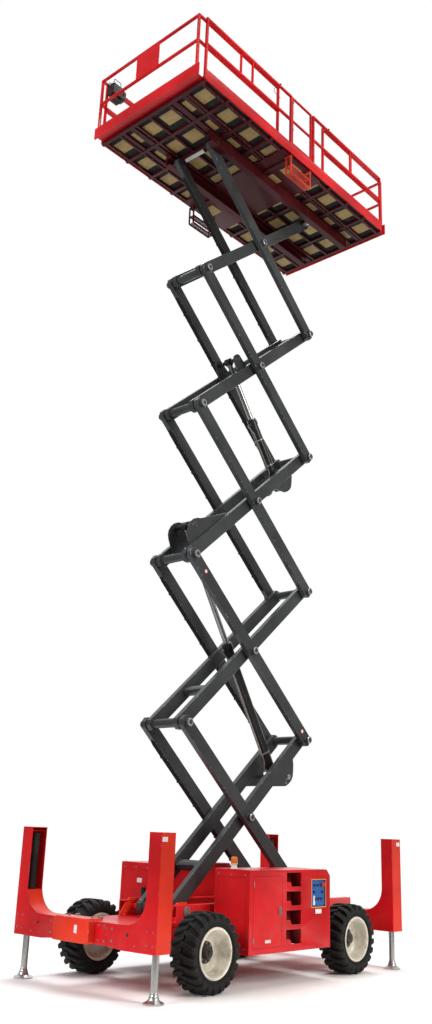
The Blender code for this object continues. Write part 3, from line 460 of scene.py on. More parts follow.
RED = paint("red paint", tone(0.60, 0.004, 0.008), 0.30, 0.12)
# Side-lit red: the red made orange to paint in the warm side light on the leg boxes and end covers.
SIDE_LIT_RED = paint("red paint with painted side light", tone(0.70, 0.026, 0.006), 0.32, 0.12)
# Maroon: the red paint darkened to paint in the shade under the platform; it also paints the far hanging step
# in shade.
SHADE_MAROON = paint("maroon painted underside shade", tone(0.060, 0.0018, 0.0045), 0.42, 0.10, shine=0.16)
# Step orange: the step red made orange to paint in the light falling on the near step.
LIT_STEP_ORANGE = paint("step orange paint with painted light", tone(0.62, 0.040, 0.010), 0.36, 0.20)
CHARCOAL = paint("charcoal paint", tone(0.042, 0.046, 0.049), 0.30, 0.25, dirt=0.20, depth=1.3,
                 bare=tone(0.34, 0.35, 0.36))
BLACK = paint("black paint", tone(0.012, 0.012, 0.013), 0.34, 0.2, dirt=0.5, bare=tone(0.16, 0.16, 0.16))
CREAM = paint("wheel paint", tone(0.76, 0.72, 0.62), 0.34, 0.25, dirt=0.9, bare=tone(0.30, 0.16, 0.09))
RUBBER = rubber("tyre rubber", tone(0.009, 0.009, 0.009))
HOSE = rubber("hose rubber", tone(0.010, 0.010, 0.011), False)
CHROME = metal("chromed rod", tone(0.46, 0.46, 0.45), 0.14, grime=0.25)
STEEL = metal("bright steel", tone(0.62, 0.62, 0.61), 0.22)
DULL = metal("dull steel", tone(0.36, 0.35, 0.34), 0.38, (1.0, 1.0, 1.0), 0.55)
BLUE = plastic("blue panel", tone(0.012, 0.110, 0.400), 0.34)
WHITE = plastic("white plate", tone(0.80, 0.80, 0.79), 0.30)
KNOB = plastic("black plastic", tone(0.010, 0.010, 0.010), 0.36)
RED_KNOB = plastic("red plastic", tone(0.66, 0.010, 0.012), 0.28)
YELLOW = plastic("yellow trim", tone(0.72, 0.42, 0.10), 0.42)
AMBER = plastic("amber lens", tone(0.90, 0.20, 0.01), 0.12, Transmission_Weight=0.2, IOR=1.49)
# Near-black: painted shade inside the pin recesses and behind the floor boards, and the dark door seams.
SHADE_AND_SEAM_BLACK = plastic("painted shade and seam black", tone(0.006, 0.004, 0.004), 0.75)
# Pocket red: the cabinet red darkened to paint in the shade inside the ladder pockets.
POCKET_SHADE_RED = paint("pocket red painted shade", tone(0.20, 0.006, 0.010), 0.45, 0.1, dirt=0.6)
FLOOR_PLATE = tread_plate("chequer plate", tone(0.30, 0.020, 0.020))
BOARD = boards("floor boards", tone(0.50, 0.35, 0.13))


# ---------------------------------------------------------------- wheels

TREAD_LUGS = 22
CARCASS = [(-0.149, 0.2562), (-0.149, 0.276), (-0.160, 0.284), (-0.169, 0.296), (-0.174, 0.318),
           (-0.174, 0.345), (-0.168, 0.364), (-0.156, 0.376), (-0.138, 0.384), (-0.080, 0.388)]


def tread_lug(side, turn):
    """One lug: a trapezoid carried from the tread's middle line out to the shoulder, turning forward
    as it goes, and then down the side wall. Its height fades where it meets the wall."""
    s = np.linspace(0.0, 1.0, 9)
    across = np.array([-0.012, 0.030, 0.072, 0.112, 0.140, 0.160, 0.1685, 0.1725, 0.1735])
    floor = np.array([0.384, 0.386, 0.386, 0.384, 0.379, 0.370, 0.360, 0.345, 0.330])
    crown = np.array([0.426, 0.4275, 0.4275, 0.4275, 0.4255, 0.407, 0.394, 0.368, 0.338])
    width = np.array([0.027, 0.029, 0.031, 0.033, 0.035, 0.036, 0.036, 0.032, 0.026])
    sweep = 0.17 * np.clip(s / 0.62, 0.0, 1.0)
    out = across + np.array([0, 0, 0, 0, 0.004, 0.014, 0.0115, 0.0075, 0.0015])
    rings = np.empty((9, 6, 3))
    for j, (spread, share) in enumerate(((-1.0, 0.0), (-0.86, 0.75), (-0.66, 1.0), (0.66, 1.0),
                                         (0.86, 0.75), (1.0, 0.0))):
        radius = floor + (crown - floor) * share
        angle = sweep + turn + spread * width / radius
        rings[:, j, 0] = across + (out - across) * share
        rings[:, j, 1] = radius * np.cos(angle)
        rings[:, j, 2] = radius * np.sin(angle)
    points, faces, edges = lofted(rings)
    worn = [1.0 if face % 6 in (1, 3) else 0.0 for face in range(len(edges))]
    return points * (side, 1, 1), faces, worn


def make_wheel(end_name, end, side_name, side):
    """A lugged tyre on a deep-dished rim with a hub and its nuts, spun about the axle."""
    body = f"{end_name}_{side_name}_wheel"
    centre = (side * WHEEL_X, end * AXLE_Y, WHEEL_Z)
    place = tilt(0.0, centre)
    tyre = Shape()
    half = np.array(CARCASS)
    profile = np.concatenate([half, [(0.0, 0.4035)], half[::-1] * (-1, 1)])
    tyre.add(turned(profile, (0, 0, 0), 0, 72, wrap=True), place=place)
    pitch = 2 * math.pi / TREAD_LUGS
    for i in range(TREAD_LUGS):
        tyre.add(tread_lug(1, i * pitch), tread_lug(-1, (i + 0.5) * pitch), place=place)
    for radius in (0.298, 0.316):
        ring = turned([(0.168, radius - 0.003), (0.1765, radius), (0.171, radius + 0.004)], (0, 0, 0), 0, 72,
                      wrap=True)
        tyre.add(ring, (ring[0] * (-1, 1, 1), ring[1], ring[2]), place=place)
    tyre.make(f"{body}_tyre_lugged", body, RUBBER, "tyre_rubber", [f"{end_name}_{side_name}_tyre"], 38)
    rim = Shape()
    dish = [(-0.165, 0.275), (-0.150, 0.275), (-0.149, 0.2555), (0.149, 0.2555), (0.150, 0.275),
            (0.160, 0.277), (0.168, 0.272), (0.170, 0.264), (0.164, 0.250), (0.150, 0.244), (0.132, 0.240),
            (0.030, 0.232), (-0.004, 0.224), (-0.022, 0.204), (-0.026, 0.180), (-0.020, 0.150),
            (-0.008, 0.130), (-0.006, 0.060), (-0.036, 0.060), (-0.036, 0.120), (-0.046, 0.200),
            (-0.070, 0.226), (-0.130, 0.236), (-0.158, 0.250)]
    rim.add(turned(dish, (0, 0, 0), 0, 64, wrap=True, flip=side), place=place)
    rim.make(f"{body}_rim_dished", body, CREAM, "rim_paint", [f"{end_name}_{side_name}_rim"], 30)
    hub = Shape()
    hub.add(turned([(-0.008, 0.118), (0.006, 0.118), (0.010, 0.112), (0.012, 0.078), (0.042, 0.072),
                    (0.052, 0.064), (0.062, 0.060), (0.066, 0.030), (0.074, 0.024), (0.076, 0.012)],
                   (0, 0, 0), 0, 40,
                   flip=side), place=place)
    hub.make(f"{body}_hub", body, BLACK, "black_paint")
    nuts = Shape()
    for i in range(8):
        turn = i * math.pi / 4
        spot = (side * 0.011, 0.096 * math.cos(turn), 0.096 * math.sin(turn))
        nuts.add(*bolt(spot, 0, 0.0095, side), place=place)
    valve = smooth_path([(side * -0.024, 0.0, 0.190), (side * 0.010, 0.0, 0.196), (side * 0.034, 0.0, 0.200)],
                        0.012)
    nuts.add(tube(valve, 0.004, 8), place=place)
    nuts.make(f"{body}_nuts", body, DULL, "bright_steel")


for end_name, end in FRONT_REAR:
    for side_name, side in NEAR_FAR:
        make_wheel(end_name, end, side_name, side)


# ---------------------------------------------------------------- scissor stack

def inner_place(stage):
    return tilt(ARM_ANGLE, (0.0, FRONT_PIN_Y, BASE_PIN_Z + stage * RISE))


def outer_place(stage):
    return tilt(-ARM_ANGLE, (0.0, STACK_Y, BASE_PIN_Z + (stage + 0.5) * RISE))


def arm(x, start, end):
    """A welded box arm: an outline with cut corners carried across its width."""
    d, cut = ARM_HALF_DEPTH, 0.050
    outline = [(start + cut, -d), (end - cut, -d), (end, cut - d), (end, d - cut), (end - cut, d),
               (start + cut, d), (start, d - cut), (start, cut - d)]
    return plate(outline, 0, x[0], x[1], 0.005)


def cross_tube(along, reach, radius=0.060):
    return turned([(-reach, radius), (reach, radius)], (0.0, along, 0.0), 0, 28)


def collar(x, along, side, outer=0.048, length=0.058):
    """A pin boss: a sleeve, a pale ring round its open end and a near-black disc set inside it, painted shade
    for the recess where the pin sits.
    """
    sleeve = turned([(0.0, outer + 0.006), (0.006, outer + 0.006), (0.010, outer), (length - 0.004, outer),
                     (length, outer - 0.004)], (side * x, along, 0.0), 0, 28, flip=side)
    ring = turned([(length - 0.010, outer + 0.0015), (length - 0.001, outer + 0.0015),
                   (length + 0.0015, outer - 0.002), (length + 0.0015, 0.030), (length - 0.012, 0.028)],
                  (side * x, along, 0.0), 0, 28, wrap=True, flip=side)
    # The near-black disc paints the shade inside the boss's recess.
    recess = turned([(length - 0.016, 0.029), (length - 0.0015, 0.029)], (side * x, along, 0.0), 0, 20,
                    flip=side)
    return sleeve, ring, recess


LUG = [(2.39, 0.0), (2.39, -0.05), (2.67, -0.265), (2.75, -0.288), (2.83, -0.290), (2.89, -0.268),
       (2.94, -0.225), (3.01, -0.150), (3.07, -0.05), (3.07, 0.0)]
TALL_HORN = [(0.18, 0.0), (0.24, 0.20), (0.27, 0.262), (0.32, 0.306), (0.40, 0.336), (0.48, 0.340),
             (0.56, 0.316), (0.62, 0.280), (1.30, 0.05), (1.30, 0.0)]
SMALL_HORN = [(1.33, 0.0), (1.40, 0.28), (1.43, 0.308), (1.48, 0.320), (1.53, 0.312), (1.57, 0.290),
              (1.65, 0.0)]
LUG_PIN = (2.810, -0.210)
TALL_PIN = (0.460, 0.260)
SMALL_PIN = (1.500, 0.240)
PLATE_X = (0.174, 0.194)
FLUSH_X = (0.260, 0.280)


def pin_cap(x, pin, side, radius=0.036):
    """A cylinder pin's end: a stepped cap and a bolt beside it."""
    along, rise = pin
    cap = turned([(-0.002, radius), (0.010, radius), (0.014, radius - 0.004), (0.014, 0.016), (0.010, 0.014)],
                 (side * x, along, rise), 0, 24, flip=side)
    return [cap, *bolt((side * (x + 0.001), along - 0.062, rise + 0.004), 0, 0.009, side)]


def make_inner(stage):
    place, body = inner_place(stage), f"inner_frame_{stage + 1}"
    steel, frame_shape = Shape(), Shape()
    frame_shape.add(arm(INNER_X, -ARM_END, ARM_LENGTH + ARM_END), place=place, both=True)
    for along in (0.0, ARM_LENGTH):
        frame_shape.add(cross_tube(along, INNER_X[0] + 0.004), place=place)
        frame_shape.add(turned([(0.0, 0.070), (0.012, 0.070), (0.016, 0.066)],
                               (-INNER_X[0] - 0.001, along, 0.0), 0, 28), place=place)
        frame_shape.add(turned([(0.0, 0.070), (0.012, 0.070), (0.016, 0.066)],
                               (INNER_X[0] + 0.001, along, 0.0), 0, 28, flip=-1), place=place)
    if stage in (0, 1, 4):
        frame_shape.add(bar((-0.202, 0.70, -0.050), (0.202, 0.80, 0.050), 0.008), place=place)
    if stage in (0, 2):
        x = FLUSH_X if stage == 0 else PLATE_X
        frame_shape.add(plate(LUG, 0, x[0], x[1] + (SEAT if stage == 0 else 0.0), 0.003), place=place,
                        both=True)
        steel.add(turned([(-x[0], 0.030), (x[0], 0.030)], (0.0, *LUG_PIN), 0, 24), place=place)
        if stage == 0:
            for side in (1, -1):
                steel.add(*pin_cap(x[1], LUG_PIN, side), place=place)
                steel.add(*bolt((side * (x[1] + 0.001), 2.70, -0.235), 0, 0.010, side), place=place)
    if stage == 2:
        frame_shape.add(plate(TALL_HORN, 0, *PLATE_X, 0.003), place=place, both=True)
        frame_shape.add(turned([(-0.024, 0.052), (0.001, 0.052), (0.002, 0.050)], (0.194, *TALL_PIN), 0, 24),
                        place=place, both=True)
    if stage == 3:
        frame_shape.add(plate(SMALL_HORN, 0, *PLATE_X, 0.003), place=place, both=True)
        frame_shape.add(turned([(-0.024, 0.048), (0.001, 0.048), (0.002, 0.046)], (0.194, *SMALL_PIN), 0, 24),
                        place=place, both=True)
    if stage in (0, 2, 3):
        spans = {0: [LUG], 2: [LUG, TALL_HORN], 3: [SMALL_HORN]}[stage]
        x = (0.196, 0.262) if stage == 0 else (0.184, 0.204)
        for outline in spans:
            ends = (outline[0][0], outline[-1][0])
            if stage != 0:
                frame_shape.add(bar((x[0], ends[0], -0.040), (x[1], ends[1], 0.040), 0.003), place=place,
                                both=True)
    frame_shape.make(f"{body}_arms", body, CHARCOAL, "charcoal_paint", [body])
    for along in (0.0, ARM_LENGTH / 2, ARM_LENGTH):
        for side in (1, -1):
            steel.add(turned([(0.0, 0.056), (0.004, 0.056), (0.004, 0.034), (0.0, 0.034)],
                             (side * (INNER_X[1] + 0.001), along, 0.0), 0, 28, wrap=True, flip=side),
                      place=place)
            grease = (side * (INNER_X[0] + 0.04), along + 0.02, ARM_HALF_DEPTH - 0.001)
            steel.add(turned([(0.0, 0.008), (0.006, 0.008), (0.008, 0.005), (0.016, 0.004)], grease, 2, 8),
                      place=place)
    steel.make(f"{body}_bright", body, STEEL, "bright_steel")


def make_outer(stage):
    place, body = outer_place(stage), f"outer_frame_{stage + 1}"
    half = ARM_LENGTH / 2
    arms, rings, recess_shades = Shape(), Shape(), Shape()
    arms.add(arm(OUTER_X, -half - ARM_END, half + ARM_END), place=place, both=True)
    bosses = [-half, 0.0] + ([half] if stage else [])
    for along in bosses:
        for side in (1, -1):
            sleeve, ring, recess = collar(OUTER_X[1] - 0.001, along, side)
            arms.add(sleeve, place=place)
            rings.add(ring, *bolt((side * (OUTER_X[1] - 0.001), along + 0.072, 0.030), 0, 0.008, side),
                      place=place)
            recess_shades.add(recess, place=place)
    rings.add(turned([(-0.196, 0.034), (0.196, 0.034)], (0.0, -half, 0.0), 0, 24), place=place)
    if stage:
        rings.add(turned([(-0.196, 0.034), (0.196, 0.034)], (0.0, half, 0.0), 0, 24), place=place)
    if stage == STAGES - 1:
        arms.add(turned([(OUTER_X[1], 0.034), (0.490, 0.034)], (0.0, -half, 0.0), 0, 24), place=place,
                 both=True)
    arms.make(f"{body}_arms", body, CHARCOAL, "charcoal_paint", [body])
    rings.make(f"{body}_rings", body, STEEL, "bright_steel")
    recess_shades.make(f"{body}_recesses", body, SHADE_AND_SEAM_BLACK, "black_paint")
    hose = Shape()
    drop = -ARM_HALF_DEPTH
    for x in (-0.360, -0.340, -0.320):
        run = [(x, -half + 0.20, drop + 0.004), (x, -half + 0.26, drop - 0.010),
               (x, half - 0.26, drop - 0.010),
               (x, half - 0.20, drop + 0.004)]
        hose.add(tube(smooth_path(run, 0.02), 0.0085, 8), place=place)
    for along in (-1.2, -0.75, -0.3, 0.3, 0.75, 1.2):
        hose.add(bar((-0.374, along - 0.015, drop - 0.022), (-0.306, along + 0.015, drop + 0.001), 0.004),
                 place=place)
    hose.make(f"{body}_hose_run", body, HOSE, "black_paint")


for stage in range(STAGES):
    make_inner(stage)
    make_outer(stage)

for stage, along, rise in ((1, -ARM_LENGTH / 2 + 0.30, 0.01), (1, ARM_LENGTH / 2 - 0.16, 0.01)):
    dot, rim_mark = Shape(), Shape()
    x = OUTER_X[1]
    dot.add(turned([(-0.001, 0.024), (0.0012, 0.024)], (x, along, rise), 0, 24), place=outer_place(stage),
            both=True)
    rim_mark.add(turned([(-0.001, 0.032), (0.0008, 0.032), (0.0008, 0.0245), (-0.001, 0.0245)],
                        (x, along, rise),
                        0, 24, wrap=True), place=outer_place(stage), both=True)
    tag = "front" if along < 0 else "rear"
    dot.make(f"{tag}_blank_dot", f"outer_frame_{stage + 1}", WHITE, "bright_steel")
    rim_mark.make(f"{tag}_dot_rim", f"outer_frame_{stage + 1}", RED_KNOB, "red_paint")


def frame_point(stage, along, rise):
    return (inner_place(stage) @ np.array((0.0, along, rise, 1.0)))[:3]


def make_cylinder(name, foot, head, barrel_length, rod_length):
    """A lift cylinder from its foot pin to its head pin: a turned barrel with end cap, gland and oil
    ports, and a chromed rod with its eye."""
    reach = head - foot
    lean = math.atan2(reach[2], reach[1])
    low, high = tilt(lean, foot), tilt(lean, head)
    barrel, fittings, rod = Shape(), Shape(), Shape()
    barrel.add(turned([(0.040, 0.050), (0.050, 0.062), (0.060, 0.0700), (barrel_length - 0.11, 0.0700),
                       (barrel_length - 0.108, 0.0698), (barrel_length - 0.106, 0.0785),
                       (barrel_length - 0.030, 0.0785), (barrel_length - 0.026, 0.072),
                       (barrel_length - 0.004, 0.070), (barrel_length, 0.060),
                       (barrel_length, 0.0405), (barrel_length - 0.05, 0.0405)], (0, 0, 0), 1, 40), place=low)
    barrel.add(turned([(-0.050, 0.050), (-0.046, 0.058), (0.046, 0.058), (0.050, 0.050), (0.050, 0.0315),
                       (-0.050, 0.0315)], (0, 0, 0), 0, 32, wrap=True), place=low)
    for along in (0.16, barrel_length - 0.07):
        block = bar((-0.026, along - 0.028, 0.060), (0.026, along + 0.028, 0.098), 0.004)
        barrel.add(block, place=low)
        fittings.add(turned([(0.0, 0.017), (0.018, 0.017), (0.020, 0.014), (0.040, 0.012)],
                            (0.0, along, 0.096), 2, 6), place=low)
    barrel.make(f"{name}_cylinder_tube", f"{name}_cylinder_barrel", BLACK, "black_paint",
                [f"{name}_cylinder_barrel"])
    pipe = [(0.0, 0.16, 0.130), (0.0, 0.16, 0.150), (0.030, 0.30, 0.104),
            (0.030, barrel_length - 0.22, 0.104),
            (0.0, barrel_length - 0.07, 0.150), (0.0, barrel_length - 0.07, 0.130)]
    fittings.add(tube(smooth_path(pipe, 0.018, 5), 0.010, 8), place=low)
    for along in (0.40, barrel_length - 0.35):
        fittings.add(turned([(-0.010, 0.0695), (-0.010, 0.0720), (0.010, 0.0720), (0.010, 0.0695)],
                            (0.0, along, 0.0), 1, 32, wrap=True), place=low)
        fittings.add(bar((0.014, along - 0.010, 0.060), (0.046, along + 0.010, 0.116), 0.003), place=low)
    fittings.make(f"{name}_cylinder_pipes", f"{name}_cylinder_barrel", DULL, "bright_steel")
    rod.add(turned([(-rod_length, 0.036), (-rod_length + 0.004, 0.0395), (-0.075, 0.0395), (-0.070, 0.046),
                    (-0.030, 0.046)], (0, 0, 0), 1, 40), place=high)
    rod.make(f"{name}_cylinder_chrome", f"{name}_cylinder_rod", CHROME, "bright_steel",
             [f"{name}_cylinder_rod"])
    eye = Shape()
    eye.add(turned([(-0.050, 0.050), (-0.046, 0.058), (0.046, 0.058), (0.050, 0.050)], (0, 0, 0), 0, 32),
            turned([(-0.166, 0.026), (-0.162, 0.030), (0.162, 0.030), (0.166, 0.026)], (0, 0, 0), 0, 24),
            place=high)
    eye.make(f"{name}_cylinder_eye", f"{name}_cylinder_rod", BLACK, "black_paint")


make_cylinder("lower", frame_point(0, *LUG_PIN), frame_point(2, *TALL_PIN), 2.100, 2.500)
make_cylinder("upper", frame_point(2, *LUG_PIN), frame_point(3, *SMALL_PIN), 1.180, 1.420)

for name, z in (("lower", BASE_PIN_Z), ("upper", TOP_PIN_Z)):
    shoes = Shape()
    shoes.add(bar((0.398, REAR_PIN_Y - 0.080, z - 0.050), (0.475, REAR_PIN_Y + 0.080, z + 0.050), 0.008),
              both=True)
    shoes.add(turned([(-0.412, 0.035), (0.412, 0.035)], (0.0, REAR_PIN_Y, z), 0, 28))
    shoes.make(f"{name}_shoe_blocks", f"{name}_slide_shoes", STEEL, "bright_steel", [f"{name}_slide_shoes"])

# ---------------------------------------------------------------- outriggers and jacks

ELBOW = 0.300
turn = -0.5 * math.pi * np.linspace(0.0, 1.0, 10)
elbow = np.stack([COLUMN_X[0] - ELBOW + ELBOW * np.cos(turn), 0.735 + ELBOW + ELBOW * np.sin(turn)], -1)
J_OUTLINE = np.concatenate([[(0.4305, 0.500), (0.700, 0.478), (1.060, 0.480), (COLUMN_X[1], 0.480),
                             (COLUMN_X[1], COLUMN_TOP), (COLUMN_X[0], COLUMN_TOP)], elbow, [(0.4305, 0.735)]])


CORE_OUTLINE = np.concatenate([J_OUTLINE[:5], [(COLUMN_X[0], 1.655), (1.166, 1.640), (1.166, 1.080),
                                                (1.150, 1.030), (1.100, 0.990)], elbow[1:], J_OUTLINE[-1:]])


def make_outrigger(end_name, end, side_name, side):
    """A bent box leg: an outline of beam, elbow and column, its inner side open, carried between two
    face plates. A barrel inside it holds the jack's rod."""
    body = "chassis"
    name = f"{end_name}_{side_name}"
    core, faces, dark, bright, label = Shape(), Shape(), Shape(), Shape(), Shape()
    low, high = sorted((end * OUTRIGGER_Y[0], end * OUTRIGGER_Y[1]))
    outer = inset(CORE_OUTLINE, 0.001)
    rings = [along_axis(flat, 1, at) for flat, at in ((outer, low + 0.010), (outer, high - 0.010),
                                                      (inset(outer, 0.010), high - 0.010),
                                                      (inset(outer, 0.010), low + 0.010))]
    core.add(lofted(rings, wrap=True), side=side)
    # the leg box takes the orange side-lit red, painted light; its face plates keep the plain red
    core.make(f"{name}_leg_box", body, SIDE_LIT_RED, "red_paint", [f"{name}_outrigger"])
    for face in ((low, low + 0.0105), (high - 0.0105, high)):
        faces.add(plate(J_OUTLINE, 1, *face, 0.002), side=side)
    faces.add(bar((1.014, low + 0.002, COLUMN_TOP - 0.012), (1.2035, high - 0.002, COLUMN_TOP), 0.004),
              side=side)
    for x, z in ((0.520, 0.560), (0.520, 0.680)):
        bright.add(*bolt((x, end * OUTRIGGER_Y[1], z), 1, 0.010, end), side=side)
    for x, z in ((1.060, 0.560), (1.060, 0.700), (1.150, 0.560), (1.150, 0.700), (0.880, 0.540)):
        bright.add(*bolt((x, end * OUTRIGGER_Y[1], z), 1, 0.007, end), side=side)
    bright.make(f"{name}_leg_bolts", body, DULL, "bright_steel")
    faces.make(f"{name}_leg_plates", body, RED, "red_paint")
    spot = (0.760, end * OUTRIGGER_Y[1], 0.640)
    # Black discs on the face plate and under the column paint in the shade inside those holes; the barrel
    # inside the column is drawn black.
    dark.add(turned([(-0.004, 0.020), (0.0008, 0.020)], spot, 1, 20, flip=end), side=side)
    dark.add(turned([(-0.002, 0.046), (0.0015, 0.046)], (JACK_X, end * JACK_Y, 0.4790), 2, 24, flip=-1),
             side=side)
    dark.add(turned([(1.560, 0.0415), (0.970, 0.0415), (0.970, 0.056), (1.625, 0.056)],
                    (JACK_X, end * JACK_Y, 0.0), 2, 32), side=side)
    dark.make(f"{name}_leg_hole_shade_and_barrel", body, BLACK, "black_paint")
    label.add(plate(rounded(0.085, 0.050, 0.006, (end * (OUTRIGGER_Y[1] - 0.062), COLUMN_TOP - 0.070)), 0,
                    COLUMN_X[1] - 0.001, COLUMN_X[1] + 0.0015, 0.0008), side=side)
    label.make(f"{name}_leg_blank_plate", body, WHITE, "bright_steel")
    leg, foot = Shape(), Shape()
    centre = (side * JACK_X, end * JACK_Y, 0.0)
    leg.add(turned([(0.060, 0.0395), (1.170, 0.0395), (1.176, 0.034)], centre, 2, 40))
    leg.make(f"{name}_jack_rod", f"{name}_jack_leg", CHROME, "bright_steel", [f"{name}_jack_leg"])
    foot.add(turned([(0.0, 0.108), (0.004, 0.113), (0.014, 0.113), (0.018, 0.106), (0.024, 0.086),
                     (0.040, 0.066), (0.062, 0.056), (0.074, 0.055), (0.080, 0.049), (0.098, 0.046)],
                    centre, 2, 48))
    foot.add(turned([(0.100, 0.0425), (0.112, 0.0425), (0.114, 0.041)], centre, 2, 40))
    for i in range(6):
        spin = i * math.pi / 3
        foot.add(*bolt((centre[0] + 0.094 * math.cos(spin), centre[1] + 0.094 * math.sin(spin), 0.0205), 2,
                       0.006))
    foot.make(f"{name}_jack_foot", f"{name}_jack_leg", STEEL, "bright_steel", sharp=40)


for end_name, end in FRONT_REAR:
    for side_name, side in NEAR_FAR:
        make_outrigger(end_name, end, side_name, side)

# ---------------------------------------------------------------- frame nodes with rounded edges

BODY_OF = {node: body for body, nodes in frame["record"]["behaviour"]["bodies"].items() for node in nodes}


def softened(node, width, finish):
    """A copy of a frame node: its triangles joined into flat faces and its edges rounded off."""
    work = bmesh.new()
    work.from_mesh(frame["nodes"][node].data)
    bmesh.ops.remove_doubles(work, verts=work.verts, dist=MERGE)
    bmesh.ops.dissolve_limit(work, angle_limit=math.radians(1.0), verts=work.verts, edges=work.edges)
    worn = work.faces.layers.float.new("worn_edge")
    sharp = [e for e in work.edges if len(e.link_faces) == 2 and e.calc_face_angle() > math.radians(28)]
    made = bmesh.ops.bevel(work, geom=sharp, offset=width, segments=2, profile=0.5,
                           affect="EDGES", clamp_overlap=True)
    for face in made["faces"]:
        face[worn] = 1.0
    mesh = bpy.data.meshes.new(f"{node}_shell")
    work.to_mesh(mesh)
    work.free()
    mesh.shade_smooth()
    mesh.set_sharp_from_angle(angle=math.radians(25))
    mesh.materials.append(finish)
    piece = bpy.data.objects.new(mesh.name, mesh)
    bpy.context.scene.collection.objects.link(piece)
    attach(piece, BODY_OF[node])
    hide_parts(node)
    return piece


for node, width, finish, slot in (
        ("chassis_frame", 0.004, RED, "red_paint"), ("near_cabinet", 0.006, RED, "red_paint"),
        ("far_cabinet", 0.008, RED, "red_paint"), ("ground_control_panel", 0.003, BLUE, "blue_panel"),
        ("engine_block", 0.010, BLACK, "black_paint"), ("front_axle", 0.006, BLACK, "black_paint"),
        ("rear_axle", 0.006, BLACK, "black_paint"), ("near_knuckle", 0.005, BLACK, "black_paint"),
        # the platform deck takes the maroon paint, painted shade for the underside
        ("far_knuckle", 0.005, BLACK, "black_paint"), ("platform_deck", 0.003, SHADE_MAROON, "red_paint"),
        ("near_side_rail", 0.005, RED, "red_paint"), ("far_side_rail", 0.005, RED, "red_paint"),
        ("near_gate", 0.004, RED, "red_paint"), ("far_gate", 0.004, RED, "red_paint"),
        ("front_extension", 0.005, RED, "red_paint"), ("rear_extension", 0.005, RED, "red_paint")):
    softened(node, width, finish)

# ---------------------------------------------------------------- chassis details

cover = Shape()
block_outline = [(-0.365, 0.498), (0.215, 0.498), (0.235, 0.518), (0.235, 0.725), (0.205, 0.757),
                 (-0.335, 0.757),
                 (-0.385, 0.715), (-0.385, 0.518)]
for end, reach in ((-1, 0.095), (1, 0.030)):
    levels = sorted((end * (OUTRIGGER_Y[1] + reach), end * (OUTRIGGER_Y[1] - 0.12)))
    cover.add(plate(block_outline, 1, *levels, 0.006))
for side in (1, -1):
    brace = [(-1.50, 0.700), (-1.08, 0.700), (-1.12, 0.860), (-1.18, 0.905), (-1.33, 0.905), (-1.39, 0.860)]
    cover.add(plate(brace, 0, 0.402, 0.424, 0.003), side=side)
# the end covers take the orange side-lit red, painted light
cover.make("end_covers", "chassis", SIDE_LIT_RED, "red_paint")

cover_bolts = Shape()
for end in (-1, 1):
    for x in (0.300, 0.395):
        for z in (0.545, 0.700):
            cover_bolts.add(*bolt((x, end * OUTRIGGER_Y[1], z), 1, 0.009, end))
    for x in (-0.26, 0.13):
        cover_bolts.add(*bolt((x, end * (OUTRIGGER_Y[1] - 0.045), 0.757), 2, 0.014))
        cover_bolts.add(turned([(-0.001, 0.030), (0.030, 0.030), (0.036, 0.024)],
                               (x, end * (OUTRIGGER_Y[1] - 0.170), 0.735), 2, 20))
cover_bolts.make("end_cover_bolts", "chassis", DULL, "bright_steel")

blank = Shape()
blank.add(plate(rounded(0.050, 0.085, 0.006, (0.020, 0.640)), 1, -OUTRIGGER_Y[1] - 0.0965,
                -OUTRIGGER_Y[1] - 0.0945, 0.0007))
blank.make("front_blank_plate", "chassis", WHITE, "bright_steel")


def link(start, end, radius=0.014, ball=0.026):
    """A rod between two ball joints, as on steering gear."""
    start, end = np.array(start), np.array(end)
    step = (end - start) / np.linalg.norm(end - start)
    parts = [tube([start + step * ball * 0.5, end - step * ball * 0.5], radius, 12)]
    for point in (start, end):
        angle = np.linspace(0.02, math.pi - 0.02, 9)
        parts.append(turned(np.stack([-ball * np.cos(angle), ball * np.sin(angle)], -1), point, 2, 16))
    return parts


steering = Shape()
steering.add(*link((-0.24, -1.33, 0.428), (-0.46, -1.33, 0.428), 0.012))
steering.add(*link((0.24, -1.33, 0.428), (0.46, -1.33, 0.428), 0.012))
steering.make("steering_rod", "chassis", CHROME, "bright_steel")
ram = Shape()
ram.add(turned([(-0.250, 0.030), (-0.246, 0.034), (0.246, 0.034), (0.250, 0.030)], (0.0, -1.33, 0.428), 0,
               28))
for x in (-0.19, 0.19):
    ram.add(bar((x - 0.02, -1.372, 0.400), (x + 0.02, -1.300, 0.462), 0.004))
ram.make("steering_ram", "chassis", BLACK, "black_paint")

pivot_ends = Shape()
for side in (1, -1):
    pivot_ends.add(turned([(0.0, 0.060), (0.012, 0.060), (0.016, 0.056), (0.016, 0.036), (0.022, 0.034)],
                          (side * 0.500, FRONT_PIN_Y, BASE_PIN_Z), 0, 28, flip=side))
    for i in range(4):
        spin = math.pi / 4 + i * math.pi / 2
        pivot_ends.add(*bolt((side * 0.511, FRONT_PIN_Y + 0.046 * math.cos(spin),
                              BASE_PIN_Z + 0.046 * math.sin(spin)), 0, 0.006, side))
pivot_ends.make("front_pivot_caps", "chassis", DULL, "bright_steel")

# ---------------------------------------------------------------- cabinets

LADDER_Y = (-0.110, 0.190)
LADDER_Z = [0.430 + 0.219 * i for i in range(4)]
LADDER_HOLE = 0.180
WINDOW_Y = (0.415, 0.715)
WINDOW_Z = (0.855, 1.175)
WALL = CABINET_X[1]


def frame_ring(axis, level, low, high, border, thickness, edge=0.002):
    """A flat frame round an opening from low to high, made of four mitred bars."""
    (a0, b0), (a1, b1) = low, high
    inner = np.array([(a0, b0), (a1, b0), (a1, b1), (a0, b1)])
    outer = inner + np.array([(-1, -1), (1, -1), (1, 1), (-1, 1)]) * border
    t = thickness
    e = edge
    profile = ((0.0, 0.0), (0.0, t - e), (e / border, t), (1 - e / border, t), (1.0, t - e), (1.0, 0.0))
    rings = [along_axis(inner + (outer - inner) * share, axis, level + rise) for share, rise in profile]
    return lofted(np.array(rings).transpose(1, 0, 2), wrap=True)


